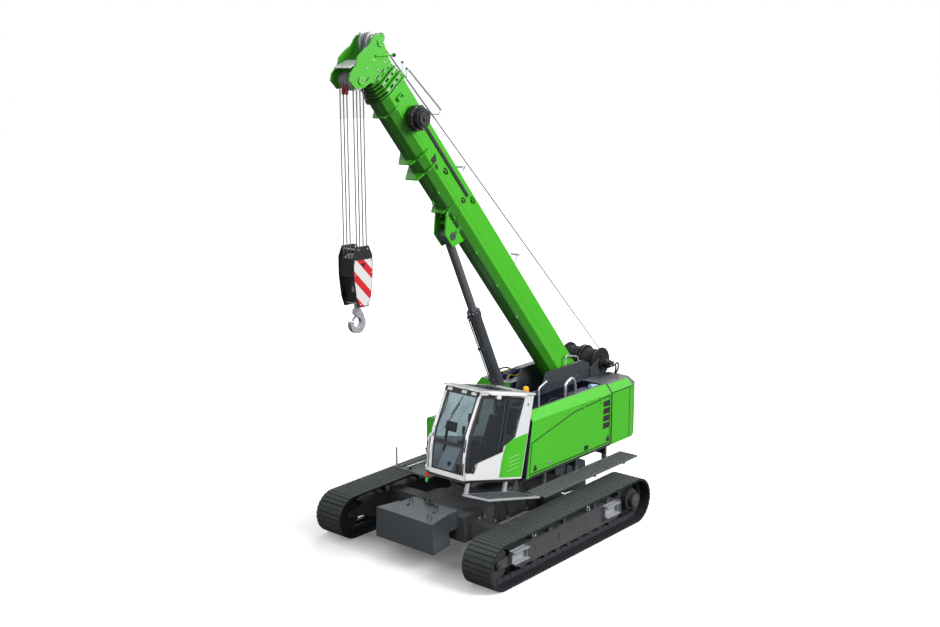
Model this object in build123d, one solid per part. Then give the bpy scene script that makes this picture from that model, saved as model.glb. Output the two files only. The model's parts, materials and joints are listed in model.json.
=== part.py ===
"""Telescopic crawler crane, in millimetres.

X points to the front of the machine, Y to its left and Z up. Every piece is built about the slewing
axis, and at the end all are moved along X, so that the origin lies under the middle of the overall box.
"""
import os
from math import atan2, cos, hypot, pi, radians, sin

from build123d import *

# Running gaps
SEAT = 0.3            # between a piece and the seat that carries it
RUNNING = 0.5         # round a pin in its bore
FREE = 10             # between pieces that move past each other

# Crawlers
TRACK_LENGTH = 5450
TRACK_SPREAD = 4717   # over both tracks, slid out
TRACK_STROKE = 858    # how far each crawler slides in
REAR_RADIUS = 489     # over the grousers at the sprocket end
FRONT_RADIUS = 457    # over the grousers at the idler end
REAR_X = REAR_RADIUS - TRACK_LENGTH / 2
FRONT_X = TRACK_LENGTH / 2 - FRONT_RADIUS
REAR_CENTRE = (REAR_X, REAR_RADIUS)
FRONT_CENTRE = (FRONT_X, FRONT_RADIUS)
SHOE_WIDTH = 700
SHOE_COUNT = 58
SHOE_THICKNESS = 30
GROUSER = 18
LINK_HEIGHT = 90
LINK_WIDTH = 60
LINK_SPREAD = 100     # from the middle of the track to the middle of each link rail
ROLLER_RADIUS = 95
ROLLER_WIDTH = 290
ROLLER_AXLE = 40
ROLLER_COUNT = 9
ROLLER_REACH = FRONT_X - 768      # of the first and last bottom roller from the slewing axis
CARRIER_RADIUS = 55
CARRIER_HALF = 130    # half the length of a carrier roller
CARRIER_PLACES = (-900, 150, 1200)
FRAME_HALF = 190      # half the width of a track frame
FRAME_BOTTOM = 235
FRAME_WALL = 32
DRIVE_RADIUS = 225
DRIVE_FLANGE = 180    # reach of the wide part of the drive
DRIVE_REACH = 290     # of the travel drive outwards from the middle of the track
HUB_RADIUS = 150
SPROCKET_TEETH = 21
TOOTH_HEIGHT = 55
TOOTH_ROOT = 12       # how deep a tooth is set in its wheel
TOOTH_WIDTH = 70
TOOTH_SHARES = (0.30, 0.14)       # half a tooth at its foot and tip, of its step
IDLER_HALF = 135
IDLER_FLANGE = 40
IDLER_AXLE = 60
CHORD = 11            # how far the straight shoes cut inside the round of a wheel
FRAME_VIEW = [(REAR_X + 406, 300), (REAR_X + 406, 600), (REAR_X + 676, 680), (FRONT_X - 768, 650),
              (FRONT_X - 468, 590), (FRONT_X - 468, 300), (FRONT_X - 618, FRAME_BOTTOM),
              (REAR_X + 586, FRAME_BOTTOM)]
YOKE_ROOT = [(FRONT_X - 568, 330), (FRONT_X - 568, 600)]
YOKE_NOSE = (40, 75)  # chamfer and half height of the yoke's end
ARM_ROOT = [(REAR_X + 486, 300), (REAR_X + 486, 620)]
ARM_END = 190         # from the sprocket's axle to the arm's edge
POST_HALF = 40
POST_WALL = 20
POST_FOOT = 640
EYE_VIEW = [(-70, 640), (-45, 790), (45, 790), (70, 640)]
EYE_HOLE = (750, 26)  # height and radius
EYE_WALL = 24
EYE_PLACES = (670, -1330)
STEP_PLACES = (1750, -1350)
STEP_LENGTH = 460
STEP_DEPTH = 140
STEP_WALL = 12
STEP_SPAN = (400, 660)
STEP_TREADS = (420, 640)
STEP_CHEEK = 0.6      # depth of a step's end plates, of its own depth

# Car body, with the beams that slide in it
CAR_HALF_LENGTH = 1620
CAR_HALF_WIDTH = 780
CAR_WAIST = 620
WAIST_REACH = (540, 700)          # where the waist ends and the full width starts
CAR_BOTTOM = 330
CAR_TOP = 860
BEAM_WIDTH = 300
BEAM_BOTTOM = 400
BEAM_TOP = 720
BEAM_OVERLAP = 231.5   # of a slid-out beam with its pocket
BEAM_PLACES = {1: (1300, -900), -1: (900, -1300)}
PEDESTAL_RADIUS = 720
RING_RADIUS = 780
RING_BOTTOM = 1000
RACE_RADIUS = 690
RACE_BOTTOM = 1110
BALLAST_FRONT = 2540
BALLAST_TOP = 985
BALLAST_BOTTOM = 360
BALLAST_WIDTHS = {"top": (755, 649), "foot": (785, 659)}     # half widths in front and behind
BALLAST_DEPTHS = {"top": 530, "foot": 630}                   # of the thick front part
BALLAST_NECK = 610    # half the width of the part towards the car body
NECK_BOTTOM = 600

# Superstructure
DECK_BOTTOM = 1240
DECK_TOP = 1420
DECK_HALF = 620
DECK_FRONT = 950
ARM_FRONT = 1300      # of the arm under the cab
DECK_REAR = -3300
PAN_BOTTOM = 1470
PAN_TOP = 1500
CHEEK_INNER = 315
CHEEK_WALL = 60
CHEEK_VIEW = [(900, 1400), (500, 1650), (-1250, 2250), (-1600, 3120), (-2900, 3150), (-3170, 3050),
              (-3300, 2600), (-3300, 1400)]
CHEEK_HOLE = (-2050, 2000)
CHEEK_HOLE_RADIUS = 180
PIVOT_BOSS = 150      # radius
RIB_PLACES = (-2400, -1300, -200)
RIB_HALF = 30
RIB_BOTTOM = 1300
RIB_REACH = 1400
BRACKET_VIEW = [(-1330, 1400), (-1200, 1900), (-880, 1900), (-700, 1400)]
BRACKET_WALL = 50
CROSS_PLATES = (((-2250, -2190), 2100), ((-3300, -3240), 2240))      # span along X and top
ARM_REAR = 580        # of the arm under the cab
ARM_END_Y = 1300
ARM_SPAN = (1290, 1400)
TILT_LUGS = (560, 1300)
TILT_LUG_WALL = 40
WINCH_FOOT = (2260, 2330)
WINCH_VIEW = [(-3180, 2300), (-3180, 2900), (-3480, 3080), (-3740, 3070), (-3800, 2880), (-3560, 2300)]
SIDE = 1430           # outer face of hoods and counterweight
HOOD_INNER = 450
HOOD_WALL = 40
HOOD_TOP = 2840
HOOD_REAR = -2530
LEFT_HOOD_FRONT = (470, 250)      # at the pan and at the top
RIGHT_HOOD_FRONT = -1350
BEVEL_HEIGHT = 180
BEVEL_DEPTH = 150
DOOR_GAP = 6
LEFT_DOOR = [(375, 1565), (300, 2210), (-1140, 2540), (-2470, 2620), (-2470, 1565)]
RIGHT_DOOR = [(-1410, 1565), (-1410, 2560), (-2470, 2620), (-2470, 1565)]
KNUCKLE_RADIUS = 11
KNUCKLE_LENGTH = 60
HINGE_PIN = 6
HINGE_OUT = 14        # of a hinge's pin from the hood's side
STRAP = 6
STRAP_LENGTH = 160
BEACON_PLACE = (-590, 580)
BEACON_FOOT = (55, 40)            # radius and height
BEACON_LENS = (62, 150)
RAIL_X = -160
RAIL_RUN = [(-160, 3235), (-420, 3320)]
RAIL_RADIUS = 20
LEFT_HINGE_Z = 2650
LEFT_STRAP_SEAT = 2548     # top of the strap's foot on the door
LEFT_HINGES = (-2150, -1500)
RIGHT_HINGE_X = -2467
RIGHT_HINGES = (1800, 2400)
RIGHT_HOOD_TOP = 2800
TOP_RIM = 70          # left round the open tops of the hoods
INNER_STRIP = 230     # of a hood's top beside the boom
ENGINE_SIZE = (970, 800, 980)
ENGINE_INNER = -540   # its face towards the boom
OIL_TANK_SIZE = (950, 720, 880)
OIL_TANK_INNER = 600
TANK_TOP = 2250
TANK_INSET = 30       # from the hoods' outer face
TANK_INNER = 520
TANK_ROUND = 90
TANK_FRONT = 350
TAIL_FRONT = -2550
TAIL_CORNER = -3380
TAIL_REAR = -3710
TAIL_BOTTOM = 1480
TAIL_TOP = 2810
TAIL_CUTS = ((300, 150), 420)     # where the rear corners are cut
TAIL_WELL = 640       # half the width of the well for the winches
WELL_TOP = 2240
WALK_TOP = 1250
WALK_DEPTH = 35
WALK_INNER = 1435
WALK_OUTER = 1900
RIGHT_WALK_OUTER = 1650
WALK_REAR = -2900
WALK_FRONT = 480
RIGHT_WALK_FRONT = 1100
WALK_EDGE = 40
WALK_BAR = 24
WALK_ARM = (1300, 1400)           # where an arm passes under the floor pan's rib
POST_Y = -1600        # of the rail post on the right walkway
POST_TOP = 1700
WALK_PITCH = 110

# Winches, behind the boom foot
WINCH_X = -3650
WINCH_Z = 2960
FLANGE_RADIUS = 350
DRUM_RADIUS = 205
WINCH_SHAFT = 60
MAIN_DRUM = (-60, 370)
AUX_DRUM = (-540, -110)
WINCH_PLATE = 24
MOTOR_RADIUS = 150
MOTOR_LENGTH = 60
MOTOR_CAP = 95        # radius
MOTOR_REACH = (210, 90)           # of the left and right motor with its cap

# Boom. Along the boom runs s, square to it, towards its back, runs v.
PIVOT_X = -2700
PIVOT_Z = 2700
BOOM_ANGLE = 49.3
BOOM_HALF = 250
BOOM_BACK = 330
BOOM_SIDE = -150
BOOM_BELLY = -380
BOOM_WALL = 12
BELLY_STEPS = ((0.68, 0.7), (0.28, 1.0))       # corners of the belly, shares of the half width and the depth
NEST = 26             # from one section's outside to the next one's
BASE_START = 170
BASE_END = 8620
COLLAR_RIM = 45
COLLAR_BELLY = 10     # how far a rim stands out below
MOUTH_RING = 30
SECTION_START = 720   # clear of the thick walls of the boom foot
SECTION_COLLAR = 105
COLLAR_PITCH = 140
COLLAR_GAP = 15       # from the base's mouth to the first collar
SECTION_RIM = 55
RIM_WIDTH = 30
PAD_LENGTH = 150
PAD_HALF = 40         # half the width of a slide pad
PAD_OFFSET = 130      # of the pads on the back from the middle
HEAD_OUTLINE = [(9060, -330), (9100, -500), (9220, -680), (9430, -700), (9504, -600), (9519, -396),
                (9596, -275), (9590, -81), (9560, 80), (9590, 200), (9600, 315), (9500, 395), (9340, 370),
                (9130, 300)]
HEAD_STUB = 28        # of the section's tube, into the head
HEAD_WEBS = (((0, 26), (-170, 290)), ((0, 130), (-20, 10)), ((180, 210), (-150, 60)))
HEAD_INNER = 215
HEAD_WALL = 30
FOOT_RADIUS = 190
FOOT_WALL = 70
FOOT_VIEW = [(700, BOOM_BACK - 20), (150, 250), (-60, 180), (-60, -180), (150, -230), (700, -200)]
LUG_VIEW = [(5000, -300), (5180, -700), (5520, -700), (5900, -300)]
LUG_WALL = 35
PIVOT_PIN = 60
STROKE = 6700
UPPER_SHEAVE = (9420, 304)
LOWER_SHEAVE = (9240, -490)
SHEAVE_RADIUS = 195   # of the upper sheaves
FALLS_RADIUS = 169    # of the lower sheaves and the block's
GROOVE_DEPTH = 19
SHEAVE_WIDTH = 40
SHEAVE_PITCH = 85
SHEAVE_AXLE = 40
ROPE_RADIUS = 9
REEL_CENTRE = (7880, 50)
REEL_RADII = (250, 190)
REEL_REACH = (60, 170, 210)       # of its back, its rim and its cover from the boom's side
STRIP_SPAN = (5720, 7700)
GUIDE_FOOT = 8        # thickness of the rope guides' feet
GUIDE_Y = -140
GUIDE_RUN = [(8360, 847), (7064, 1046), (7480, 560)]
GUIDE_RADIUS = 17
ROLLER_GUIDES = ((6000, 620), (3400, 670))

EAR_SPAN = (-60, -190)            # of a saddle's ears
SADDLES = (           # span along the boom, lowest v, width of the ears
    ((8290, 8320), -425, 20), ((7200, 7230), -500, 70), ((6860, 6890), -560, 60),
    ((5880, 5905), -470, 15), ((5560, 5585), -470, 15))

# Luffing cylinder
EYE_S = 5350
EYE_V = -560
FOOT_X = -1030
FOOT_Z = 1720
ROD_RADIUS = 88
BARREL_RADIUS = 126
BARREL_LENGTH = 3370
EYE_RADIUS = 130
EYE_HALF = 115
EYE_PIN = 50

# Cab. In its own frame x runs forward along the floor and z square to the floor.
CAB_X = 600
CAB_Z = 1546
CAB_TILT = 13.5
CAB_RIGHT = 500
CAB_LEFT = 1405
CAB_WALL = 45
CAB_TOP = 1700
ROOF_TOP = 1735
CAB_FACE = 1450       # outer face of the sliding door
REAR_WINDOW = ((CAB_RIGHT + 110, CAB_LEFT - 110), (800, 1560))
ROOF_WINDOW = ((550, 1250), (CAB_RIGHT + 150, CAB_LEFT - 150))
RAIL_BOTTOM = 1668    # of the rail over the sliding door
CAB_SIDE = [(0, 0), (1810, 0), (1870, 430), (1880, 860), (1670, 1700), (0, 1700)]
DOOR_HOLE = [(850, 60), (1770, 60), (1815, 430), (1825, 850), (1640, 1600), (850, 1600)]
DOOR_LEAF = [(800, 20), (1800, 20), (1860, 430), (1868, 855), (1672, 1650), (800, 1650)]
DOOR_PANE = [(870, 560), (1530, 370), (1610, 190), (1780, 190), (1805, 430), (1812, 845),
             (1630, 1590), (870, 1590)]
REAR_PANE = [(790, 650), (790, 1600), (320, 1600), (440, 860)]
RIGHT_PANE = [(150, 700), (150, 1600), (1620, 1600), (1810, 850), (1795, 700)]
REAR_PANEL = [(20, 40), (780, 40), (700, 610), (660, 730), (440, 815), (20, 930)]
LOUVRE_COUNT = 4
LOUVRE_BOTTOM = 330
LOUVRE_PITCH = 60
LOUVRE_HEIGHT = 22
LOUVRE_SPAN = (180, 480)
PANE = 8
TILT_PIN = (60, -38)

# Hook block
BLOCK_SHEAVE_Z = 6150
BLOCK_HALF = 240      # along X
CHEEK_PLATE = 25
BLOCK_VIEW = [(150, 6480), (BLOCK_HALF, 6300), (BLOCK_HALF, 5950), (190, 5560), (120, 5370)]
HEAD_SPAN = (5480, 5640)          # of the cross head
HOOK_BOTTOM = 4860
HOOK_RADIUS = 185
HOOK_THROAT = 95
SHANK_RADIUS = 44
NUT_RADIUS = 80
NUT_TOP = 5730
NECK_VIEW = [(-60, 5320), (60, 5320), (70, 5225), (-20, 5160), (-150, 5130), (-140, 5200)]
HOOK_THICKNESS = 90


def block(x, y, z):
    """A box between the low and high values of x, y and z."""
    spans = [sorted(span) for span in (x, y, z)]
    middle = [(low + high) / 2 for low, high in spans]
    size = [high - low for low, high in spans]
    return Pos(*middle) * Box(*size)


def outline_face(points):
    """A flat face inside a closed outline of straight lines."""
    return make_face(Polyline(*points, close=True))


def upright_plate(face, y):
    """Carries a face drawn in X and Z through the plate's span of Y."""
    low, high = sorted(y)
    plane = Plane((0, high, 0), x_dir=(1, 0, 0), z_dir=(0, -1, 0))
    return extrude(plane * face, high - low)


def upright(points, y):
    """An upright plate along the machine, its outline in X and Z."""
    return upright_plate(outline_face(points), y)


def flat(points, z):
    """A level plate, its outline in X and Y."""
    return Pos(0, 0, min(z)) * extrude(outline_face(points), abs(z[1] - z[0]))


def crosswise(points, x):
    """A plate square to X, its outline in Y and Z."""
    plane = Plane((min(x), 0, 0), x_dir=(0, 1, 0), z_dir=(1, 0, 0))
    return extrude(plane * outline_face(points), abs(x[1] - x[0]))


def bar(start, end, radius):
    """A round bar between two points."""
    line = Vector(*end) - Vector(*start)
    aligned = (Align.CENTER, Align.CENTER, Align.MIN)
    return Plane(Vector(*start), z_dir=line) * Cylinder(radius, line.length, align=aligned)


def across(x, z, y, radius):
    """A round bar along Y, centred at x and z."""
    return bar((x, min(y), z), (x, max(y), z), radius)


def mirrored(shape):
    """The same shape on the other side of the machine."""
    return shape.mirror(Plane.XZ)


def group(*solids):
    """Several solids that don't touch, kept in one piece of the model."""
    return Compound([solid for shape in solids for solid in shape.solids()])


def boom_frame(shape):
    """From boom coordinates to the machine, at the boom's rest angle."""
    return Pos(PIVOT_X, 0, PIVOT_Z) * Rot(0, -BOOM_ANGLE, 0) * shape


def boom_point(s, v, y=0):
    """The place in the machine of a point of the boom."""
    turn = radians(BOOM_ANGLE)
    return (PIVOT_X + s * cos(turn) - v * sin(turn), y, PIVOT_Z + s * sin(turn) + v * cos(turn))


def cab_frame_place(shape):
    """From cab coordinates to the machine, with the cab tilted back."""
    return Pos(CAB_X, 0, CAB_Z) * Rot(0, -CAB_TILT, 0) * shape


# Crawlers

TRACK_MIDDLE = TRACK_SPREAD / 2 - SHOE_WIDTH / 2
BEAM_LENGTH = TRACK_MIDDLE - FRAME_HALF - CAR_HALF_WIDTH + BEAM_OVERLAP
SLOPE = atan2(FRONT_CENTRE[1] - REAR_CENTRE[1], FRONT_CENTRE[0] - REAR_CENTRE[0])
TOP_NORMAL = pi / 2 + 2 * SLOPE
RUN = FRONT_CENTRE[0] - REAR_CENTRE[0]


def loop_length():
    """Length of the line on which the grousers stand."""
    front = (FRONT_RADIUS - GROUSER) * (TOP_NORMAL + pi / 2)
    rear = (REAR_RADIUS - GROUSER) * (1.5 * pi - TOP_NORMAL)
    return 2 * RUN + front + rear


def loop_point(way, height):
    """A point at a height over the grousers' foot line, a way along it from the rear bottom."""
    front_arc = (FRONT_RADIUS - GROUSER) * (TOP_NORMAL + pi / 2)
    way = way % loop_length()
    if way < RUN:
        return (REAR_CENTRE[0] + way, GROUSER - height)
    if way < RUN + front_arc:
        turn = (way - RUN) / (FRONT_RADIUS - GROUSER) - pi / 2
        reach = FRONT_RADIUS - GROUSER + height
        return (FRONT_CENTRE[0] + reach * cos(turn), FRONT_CENTRE[1] + reach * sin(turn))
    if way < 2 * RUN + front_arc:
        share = (way - RUN - front_arc) / RUN
        radius = (FRONT_RADIUS - GROUSER) * (1 - share) + (REAR_RADIUS - GROUSER) * share + height
        return (FRONT_CENTRE[0] - RUN * share + radius * cos(TOP_NORMAL),
                FRONT_CENTRE[1] + (REAR_CENTRE[1] - FRONT_CENTRE[1]) * share + radius * sin(TOP_NORMAL))
    turn = TOP_NORMAL + (way - 2 * RUN - front_arc) / (REAR_RADIUS - GROUSER)
    reach = REAR_RADIUS - GROUSER + height
    return (REAR_CENTRE[0] + reach * cos(turn), REAR_CENTRE[1] + reach * sin(turn))


def loop_ring(outer, inner, y):
    """A closed band of the loop between two lists of points."""
    return upright_plate(outline_face(outer) - outline_face(inner), y)


def track(side):
    """The track of one side: shoes with their grousers, on two rails of links."""
    pitch = loop_length() / SHOE_COUNT
    # share of the pitch, height over the plate
    shoe = [(0.00, -12), (0.03, 0), (0.70, 0), (0.74, GROUSER), (0.88, GROUSER), (0.93, 0)]
    outer = [loop_point((i + share) * pitch, height) for i in range(SHOE_COUNT) for share, height in shoe]
    inner = [loop_point((i + 0.5) * pitch, -SHOE_THICKNESS) for i in range(SHOE_COUNT)]
    bed = [loop_point((i + 0.5) * pitch, -SHOE_THICKNESS + 6) for i in range(SHOE_COUNT)]
    rail = [loop_point((i + 0.5) * pitch, -SHOE_THICKNESS - LINK_HEIGHT) for i in range(SHOE_COUNT)]
    middle = side * TRACK_MIDDLE
    ring = loop_ring(outer, inner, (middle - SHOE_WIDTH / 2, middle + SHOE_WIDTH / 2))
    for offset in (-LINK_SPREAD, LINK_SPREAD):
        centre = middle + offset
        ring += loop_ring(bed, rail, (centre - LINK_WIDTH / 2, centre + LINK_WIDTH / 2))
    return ring


INNER_RISE = GROUSER + SHOE_THICKNESS + LINK_HEIGHT
ROLLER_Z = INNER_RISE + ROLLER_RADIUS + SEAT


def top_run_height(x):
    """Height of the underside of the upper run at x."""
    share = (FRONT_CENTRE[0] - x) / RUN
    radius = FRONT_RADIUS * (1 - share) + REAR_RADIUS * share
    return FRONT_CENTRE[1] + (REAR_CENTRE[1] - FRONT_CENTRE[1]) * share + radius - INNER_RISE


def sprocket(middle):
    """Toothed wheel between the link rails, with the round travel drive through its middle."""
    root = REAR_RADIUS - INNER_RISE - CHORD - SEAT
    x, z = REAR_CENTRE
    wheel = across(x, z, (middle - TOOTH_WIDTH / 2, middle + TOOTH_WIDTH / 2), root)
    step = 2 * pi / SPROCKET_TEETH
    wide, narrow = TOOTH_SHARES
    foot, tip = root - TOOTH_ROOT, root + TOOTH_HEIGHT
    corners = [(foot, -wide), (tip, -narrow), (tip, narrow), (foot, wide)]
    for i in range(SPROCKET_TEETH):
        points = [(x + reach * cos((i + share) * step), z + reach * sin((i + share) * step))
                  for reach, share in corners]
        wheel += upright(points, (middle - TOOTH_WIDTH / 2, middle + TOOTH_WIDTH / 2))
    return wheel


def wheels(side):
    """Bottom rollers, carrier rollers, idler and sprocket with its drive, of one crawler."""
    middle = side * TRACK_MIDDLE
    half = ROLLER_WIDTH / 2
    seat = FRAME_HALF - FRAME_WALL - SEAT
    pieces = []
    for i in range(ROLLER_COUNT):
        x = -ROLLER_REACH + 2 * ROLLER_REACH * i / (ROLLER_COUNT - 1)
        roller = across(x, ROLLER_Z, (middle - half, middle + half), ROLLER_RADIUS)
        pieces.append(roller + across(x, ROLLER_Z, (middle - seat, middle + seat), ROLLER_AXLE))
    for x in CARRIER_PLACES:
        z = top_run_height(x) - CARRIER_RADIUS - SEAT - 1
        pieces.append(across(x, z, (middle - CARRIER_HALF, middle + CARRIER_HALF), CARRIER_RADIUS))
    idler_radius = FRONT_RADIUS - INNER_RISE - CHORD - SEAT
    x, z = FRONT_CENTRE
    idler = across(x, z, (middle - IDLER_HALF, middle + IDLER_HALF), idler_radius)
    between = LINK_SPREAD - LINK_WIDTH / 2 - 12
    idler += across(x, z, (middle - between, middle + between), idler_radius + IDLER_FLANGE)
    idler += across(x, z, (middle - seat, middle + seat), IDLER_AXLE)
    pieces.append(idler)
    x, z = REAR_CENTRE
    drive = sprocket(middle)
    drive += across(x, z, (middle - side * seat, middle + side * DRIVE_FLANGE), DRIVE_RADIUS)
    drive += across(x, z, (middle, middle + side * DRIVE_REACH), HUB_RADIUS)
    pieces.append(drive)
    return group(*pieces)


def track_frame(side):
    """Side frame of one crawler, with its yokes, carrier posts, lifting eyes and two sliding beams."""
    middle = side * TRACK_MIDDLE
    rear_x, rear_z = REAR_CENTRE
    front_x, front_z = FRONT_CENTRE
    frame = upright(FRAME_VIEW, (middle - FRAME_HALF, middle + FRAME_HALF))
    well = (middle - FRAME_HALF + FRAME_WALL, middle + FRAME_HALF - FRAME_WALL)
    frame -= block((-ROLLER_REACH - 120, ROLLER_REACH + 120), well, (0, ROLLER_Z + ROLLER_RADIUS + FREE))
    for face in (-1, 1):
        plate = sorted((middle + face * FRAME_HALF, middle + face * (FRAME_HALF - FRAME_WALL)))
        cut, half = YOKE_NOSE
        nose = [(front_x + cut, front_z + half), (front_x + half, front_z), (front_x + cut, front_z - half)]
        frame += upright(YOKE_ROOT + nose, plate)
    inner = sorted((middle - side * FRAME_HALF, middle - side * (FRAME_HALF - FRAME_WALL)))
    arm = ARM_ROOT + [(rear_x, rear_z + ARM_END), (rear_x - ARM_END, rear_z), (rear_x, rear_z - ARM_END)]
    frame += upright(arm, inner)
    for x in CARRIER_PLACES:
        low = top_run_height(x) - 2 * CARRIER_RADIUS - SEAT
        for face in (-1, 1):
            ear = sorted((middle + face * (CARRIER_HALF + SEAT), middle + face * (CARRIER_HALF + POST_WALL)))
            frame += block((x - POST_HALF, x + POST_HALF), ear, (POST_FOOT, low + CARRIER_RADIUS))
    for x in EYE_PLACES:
        ear = sorted((middle + side * (FRAME_HALF - EYE_WALL), middle + side * FRAME_HALF))
        eye = upright([(x + reach, z) for reach, z in EYE_VIEW], ear)
        frame += eye - across(x, EYE_HOLE[0], (ear[0] - 1, ear[1] + 1), EYE_HOLE[1])
    for x in BEAM_PLACES[side]:
        start = middle - side * (FRAME_HALF - FRAME_WALL)
        end = middle - side * (FRAME_HALF + BEAM_LENGTH)
        frame += block((x - BEAM_WIDTH / 2, x + BEAM_WIDTH / 2), (start, end), (BEAM_BOTTOM, BEAM_TOP))
    return frame


def step_irons(side):
    """Two pale steps on the outer face of a track frame, each with two treads."""
    face = side * (TRACK_MIDDLE + FRAME_HALF + SEAT)
    reach = face + side * STEP_DEPTH
    pieces = []
    for x in STEP_PLACES:
        back = (x - STEP_LENGTH / 2, x + STEP_LENGTH / 2)
        step = block(back, (face, face + side * STEP_WALL), STEP_SPAN)
        for z in STEP_TREADS:
            step += block(back, (face, reach), (z - STEP_WALL, z + STEP_WALL))
        for edge, inward in ((back[0], STEP_WALL), (back[1], -STEP_WALL)):
            step += block((edge, edge + inward), (face, face + side * STEP_DEPTH * STEP_CHEEK), STEP_SPAN)
        pieces.append(step)
    return group(*pieces)


def car_body():
    """Lower frame with the pockets for the sliding beams and the pedestal of the slewing ring."""
    near, far = WAIST_REACH
    plan = [(-CAR_HALF_LENGTH, -CAR_HALF_WIDTH), (-far, -CAR_HALF_WIDTH), (-near, -CAR_WAIST),
            (near, -CAR_WAIST), (far, -CAR_HALF_WIDTH), (CAR_HALF_LENGTH, -CAR_HALF_WIDTH)]
    plan += [(x, -y) for x, y in reversed(plan)]
    body = flat(plan, (CAR_BOTTOM, CAR_TOP))
    body += Pos(0, 0, (CAR_TOP + RING_BOTTOM) / 2) * Cylinder(PEDESTAL_RADIUS, RING_BOTTOM - CAR_TOP)
    inner_end = TRACK_MIDDLE - FRAME_HALF - BEAM_LENGTH - TRACK_STROKE - FREE
    for side, places in BEAM_PLACES.items():
        for x in places:
            width = BEAM_WIDTH / 2 + SEAT
            body -= block((x - width, x + width), (side * inner_end, side * (CAR_HALF_WIDTH + 1)),
                          (BEAM_BOTTOM - SEAT, BEAM_TOP + SEAT))
    return body


def slewing_ring():
    """Outer ring bolted to the pedestal, with the bolt circle left plain."""
    height = RACE_BOTTOM - RING_BOTTOM - 2 * SEAT
    return Pos(0, 0, (RING_BOTTOM + RACE_BOTTOM) / 2) * Cylinder(RING_RADIUS, height)


def ballast_plan(level):
    """Outline in X and Y of the thick front part, at its top or its foot."""
    front, rear = BALLAST_WIDTHS[level]
    back = BALLAST_FRONT - BALLAST_DEPTHS[level]
    return [(back, -rear), (BALLAST_FRONT, -front), (BALLAST_FRONT, front), (back, rear)]


def ballast(end):
    """Ballast block hung on one end of the car body: end is 1 in front and -1 behind."""
    foot = Pos(0, 0, BALLAST_BOTTOM) * outline_face(ballast_plan("foot"))
    top = Pos(0, 0, BALLAST_TOP) * outline_face(ballast_plan("top"))
    weight = loft([foot, top], ruled=True)
    weight += block((CAR_HALF_LENGTH + SEAT, BALLAST_FRONT - BALLAST_DEPTHS["top"] / 2),
                    (-BALLAST_NECK, BALLAST_NECK), (NECK_BOTTOM, BALLAST_TOP - 12))
    return weight if end > 0 else weight.mirror(Plane.YZ)


# Superstructure

def main_frame():
    """Deck box, cheeks with the boom pivot pin, floor pans, cylinder bracket and cab arm."""
    frame = block((DECK_REAR, DECK_FRONT), (-DECK_HALF, DECK_HALF), (DECK_BOTTOM, DECK_TOP))
    frame += Pos(0, 0, (RACE_BOTTOM + DECK_BOTTOM) / 2) * Cylinder(RACE_RADIUS, DECK_BOTTOM - RACE_BOTTOM)
    for side in (-1, 1):
        frame += frame_side(side)
    reach = CHEEK_INNER + CHEEK_WALL + 35
    frame += across(PIVOT_X, PIVOT_Z, (-reach, reach), PIVOT_PIN)
    for x, top in CROSS_PLATES:
        frame += block(x, (-CHEEK_INNER, CHEEK_INNER), (DECK_TOP - 20, top))
    frame += winch_brackets()
    frame += block((ARM_REAR, ARM_FRONT), (DECK_HALF - 10, ARM_END_Y), ARM_SPAN)
    frame += block((ARM_REAR, DECK_FRONT - 1), (DECK_HALF - 40, DECK_HALF + 30), ARM_SPAN)
    return frame + tilt_lugs()


def frame_side(side):
    """One side's cheek, floor pan with its ribs, and plate of the cylinder bracket."""
    outer = CHEEK_INNER + CHEEK_WALL
    made = upright(CHEEK_VIEW, (side * CHEEK_INNER, side * outer))
    made -= across(*CHEEK_HOLE, (side * (CHEEK_INNER - 15), side * (outer + 25)), CHEEK_HOLE_RADIUS)
    made += across(PIVOT_X, PIVOT_Z, (side * CHEEK_INNER, side * (outer + 25)), PIVOT_BOSS)
    front = LEFT_HOOD_FRONT[0] if side > 0 else TANK_FRONT
    made += block((HOOD_REAR, front), (side * CHEEK_INNER, side * (SIDE - 8)), (PAN_BOTTOM, PAN_TOP - SEAT))
    for x in RIB_PLACES:
        made += block((x - RIB_HALF, x + RIB_HALF), (side * (DECK_HALF - 20), side * RIB_REACH),
                      (RIB_BOTTOM, PAN_BOTTOM + 5))
    inner = BARREL_RADIUS + 20
    plate = upright(BRACKET_VIEW, (side * inner, side * (inner + BRACKET_WALL)))
    bore = across(FOOT_X, FOOT_Z, (side * (inner - 1), side * (inner + BRACKET_WALL + 1)), EYE_PIN + 10)
    return made + (plate - bore)


def tilt_lugs():
    """Two lugs on the cab arm with the pin on which the cab tilts."""
    x, z = cab_point(*TILT_PIN)
    view = [(x - 45, RIB_BOTTOM), (x - 40, z), (x + 10, z + 34), (x + 45, z), (x + 120, RIB_BOTTOM)]
    lugs = across(x, z, (TILT_LUGS[0], TILT_LUGS[1] + TILT_LUG_WALL), 20)
    for y in TILT_LUGS:
        lugs += upright(view, (y, y + TILT_LUG_WALL))
    return lugs


def winch_brackets():
    """Three plates behind the cheeks that carry the drum shafts, on a cross box."""
    plates = block((WINCH_VIEW[-1][0], WINCH_VIEW[0][0]), (-600, 420), WINCH_FOOT)
    for y in (MAIN_DRUM[1] + FREE, AUX_DRUM[1] + (MAIN_DRUM[0] - AUX_DRUM[1]) / 2 - WINCH_PLATE / 2,
              AUX_DRUM[0] - FREE - WINCH_PLATE):
        plates += upright(WINCH_VIEW, (y, y + WINCH_PLATE))
    bore = across(WINCH_X, WINCH_Z, (-700, 700), WINCH_SHAFT + RUNNING)
    return plates - bore


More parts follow.
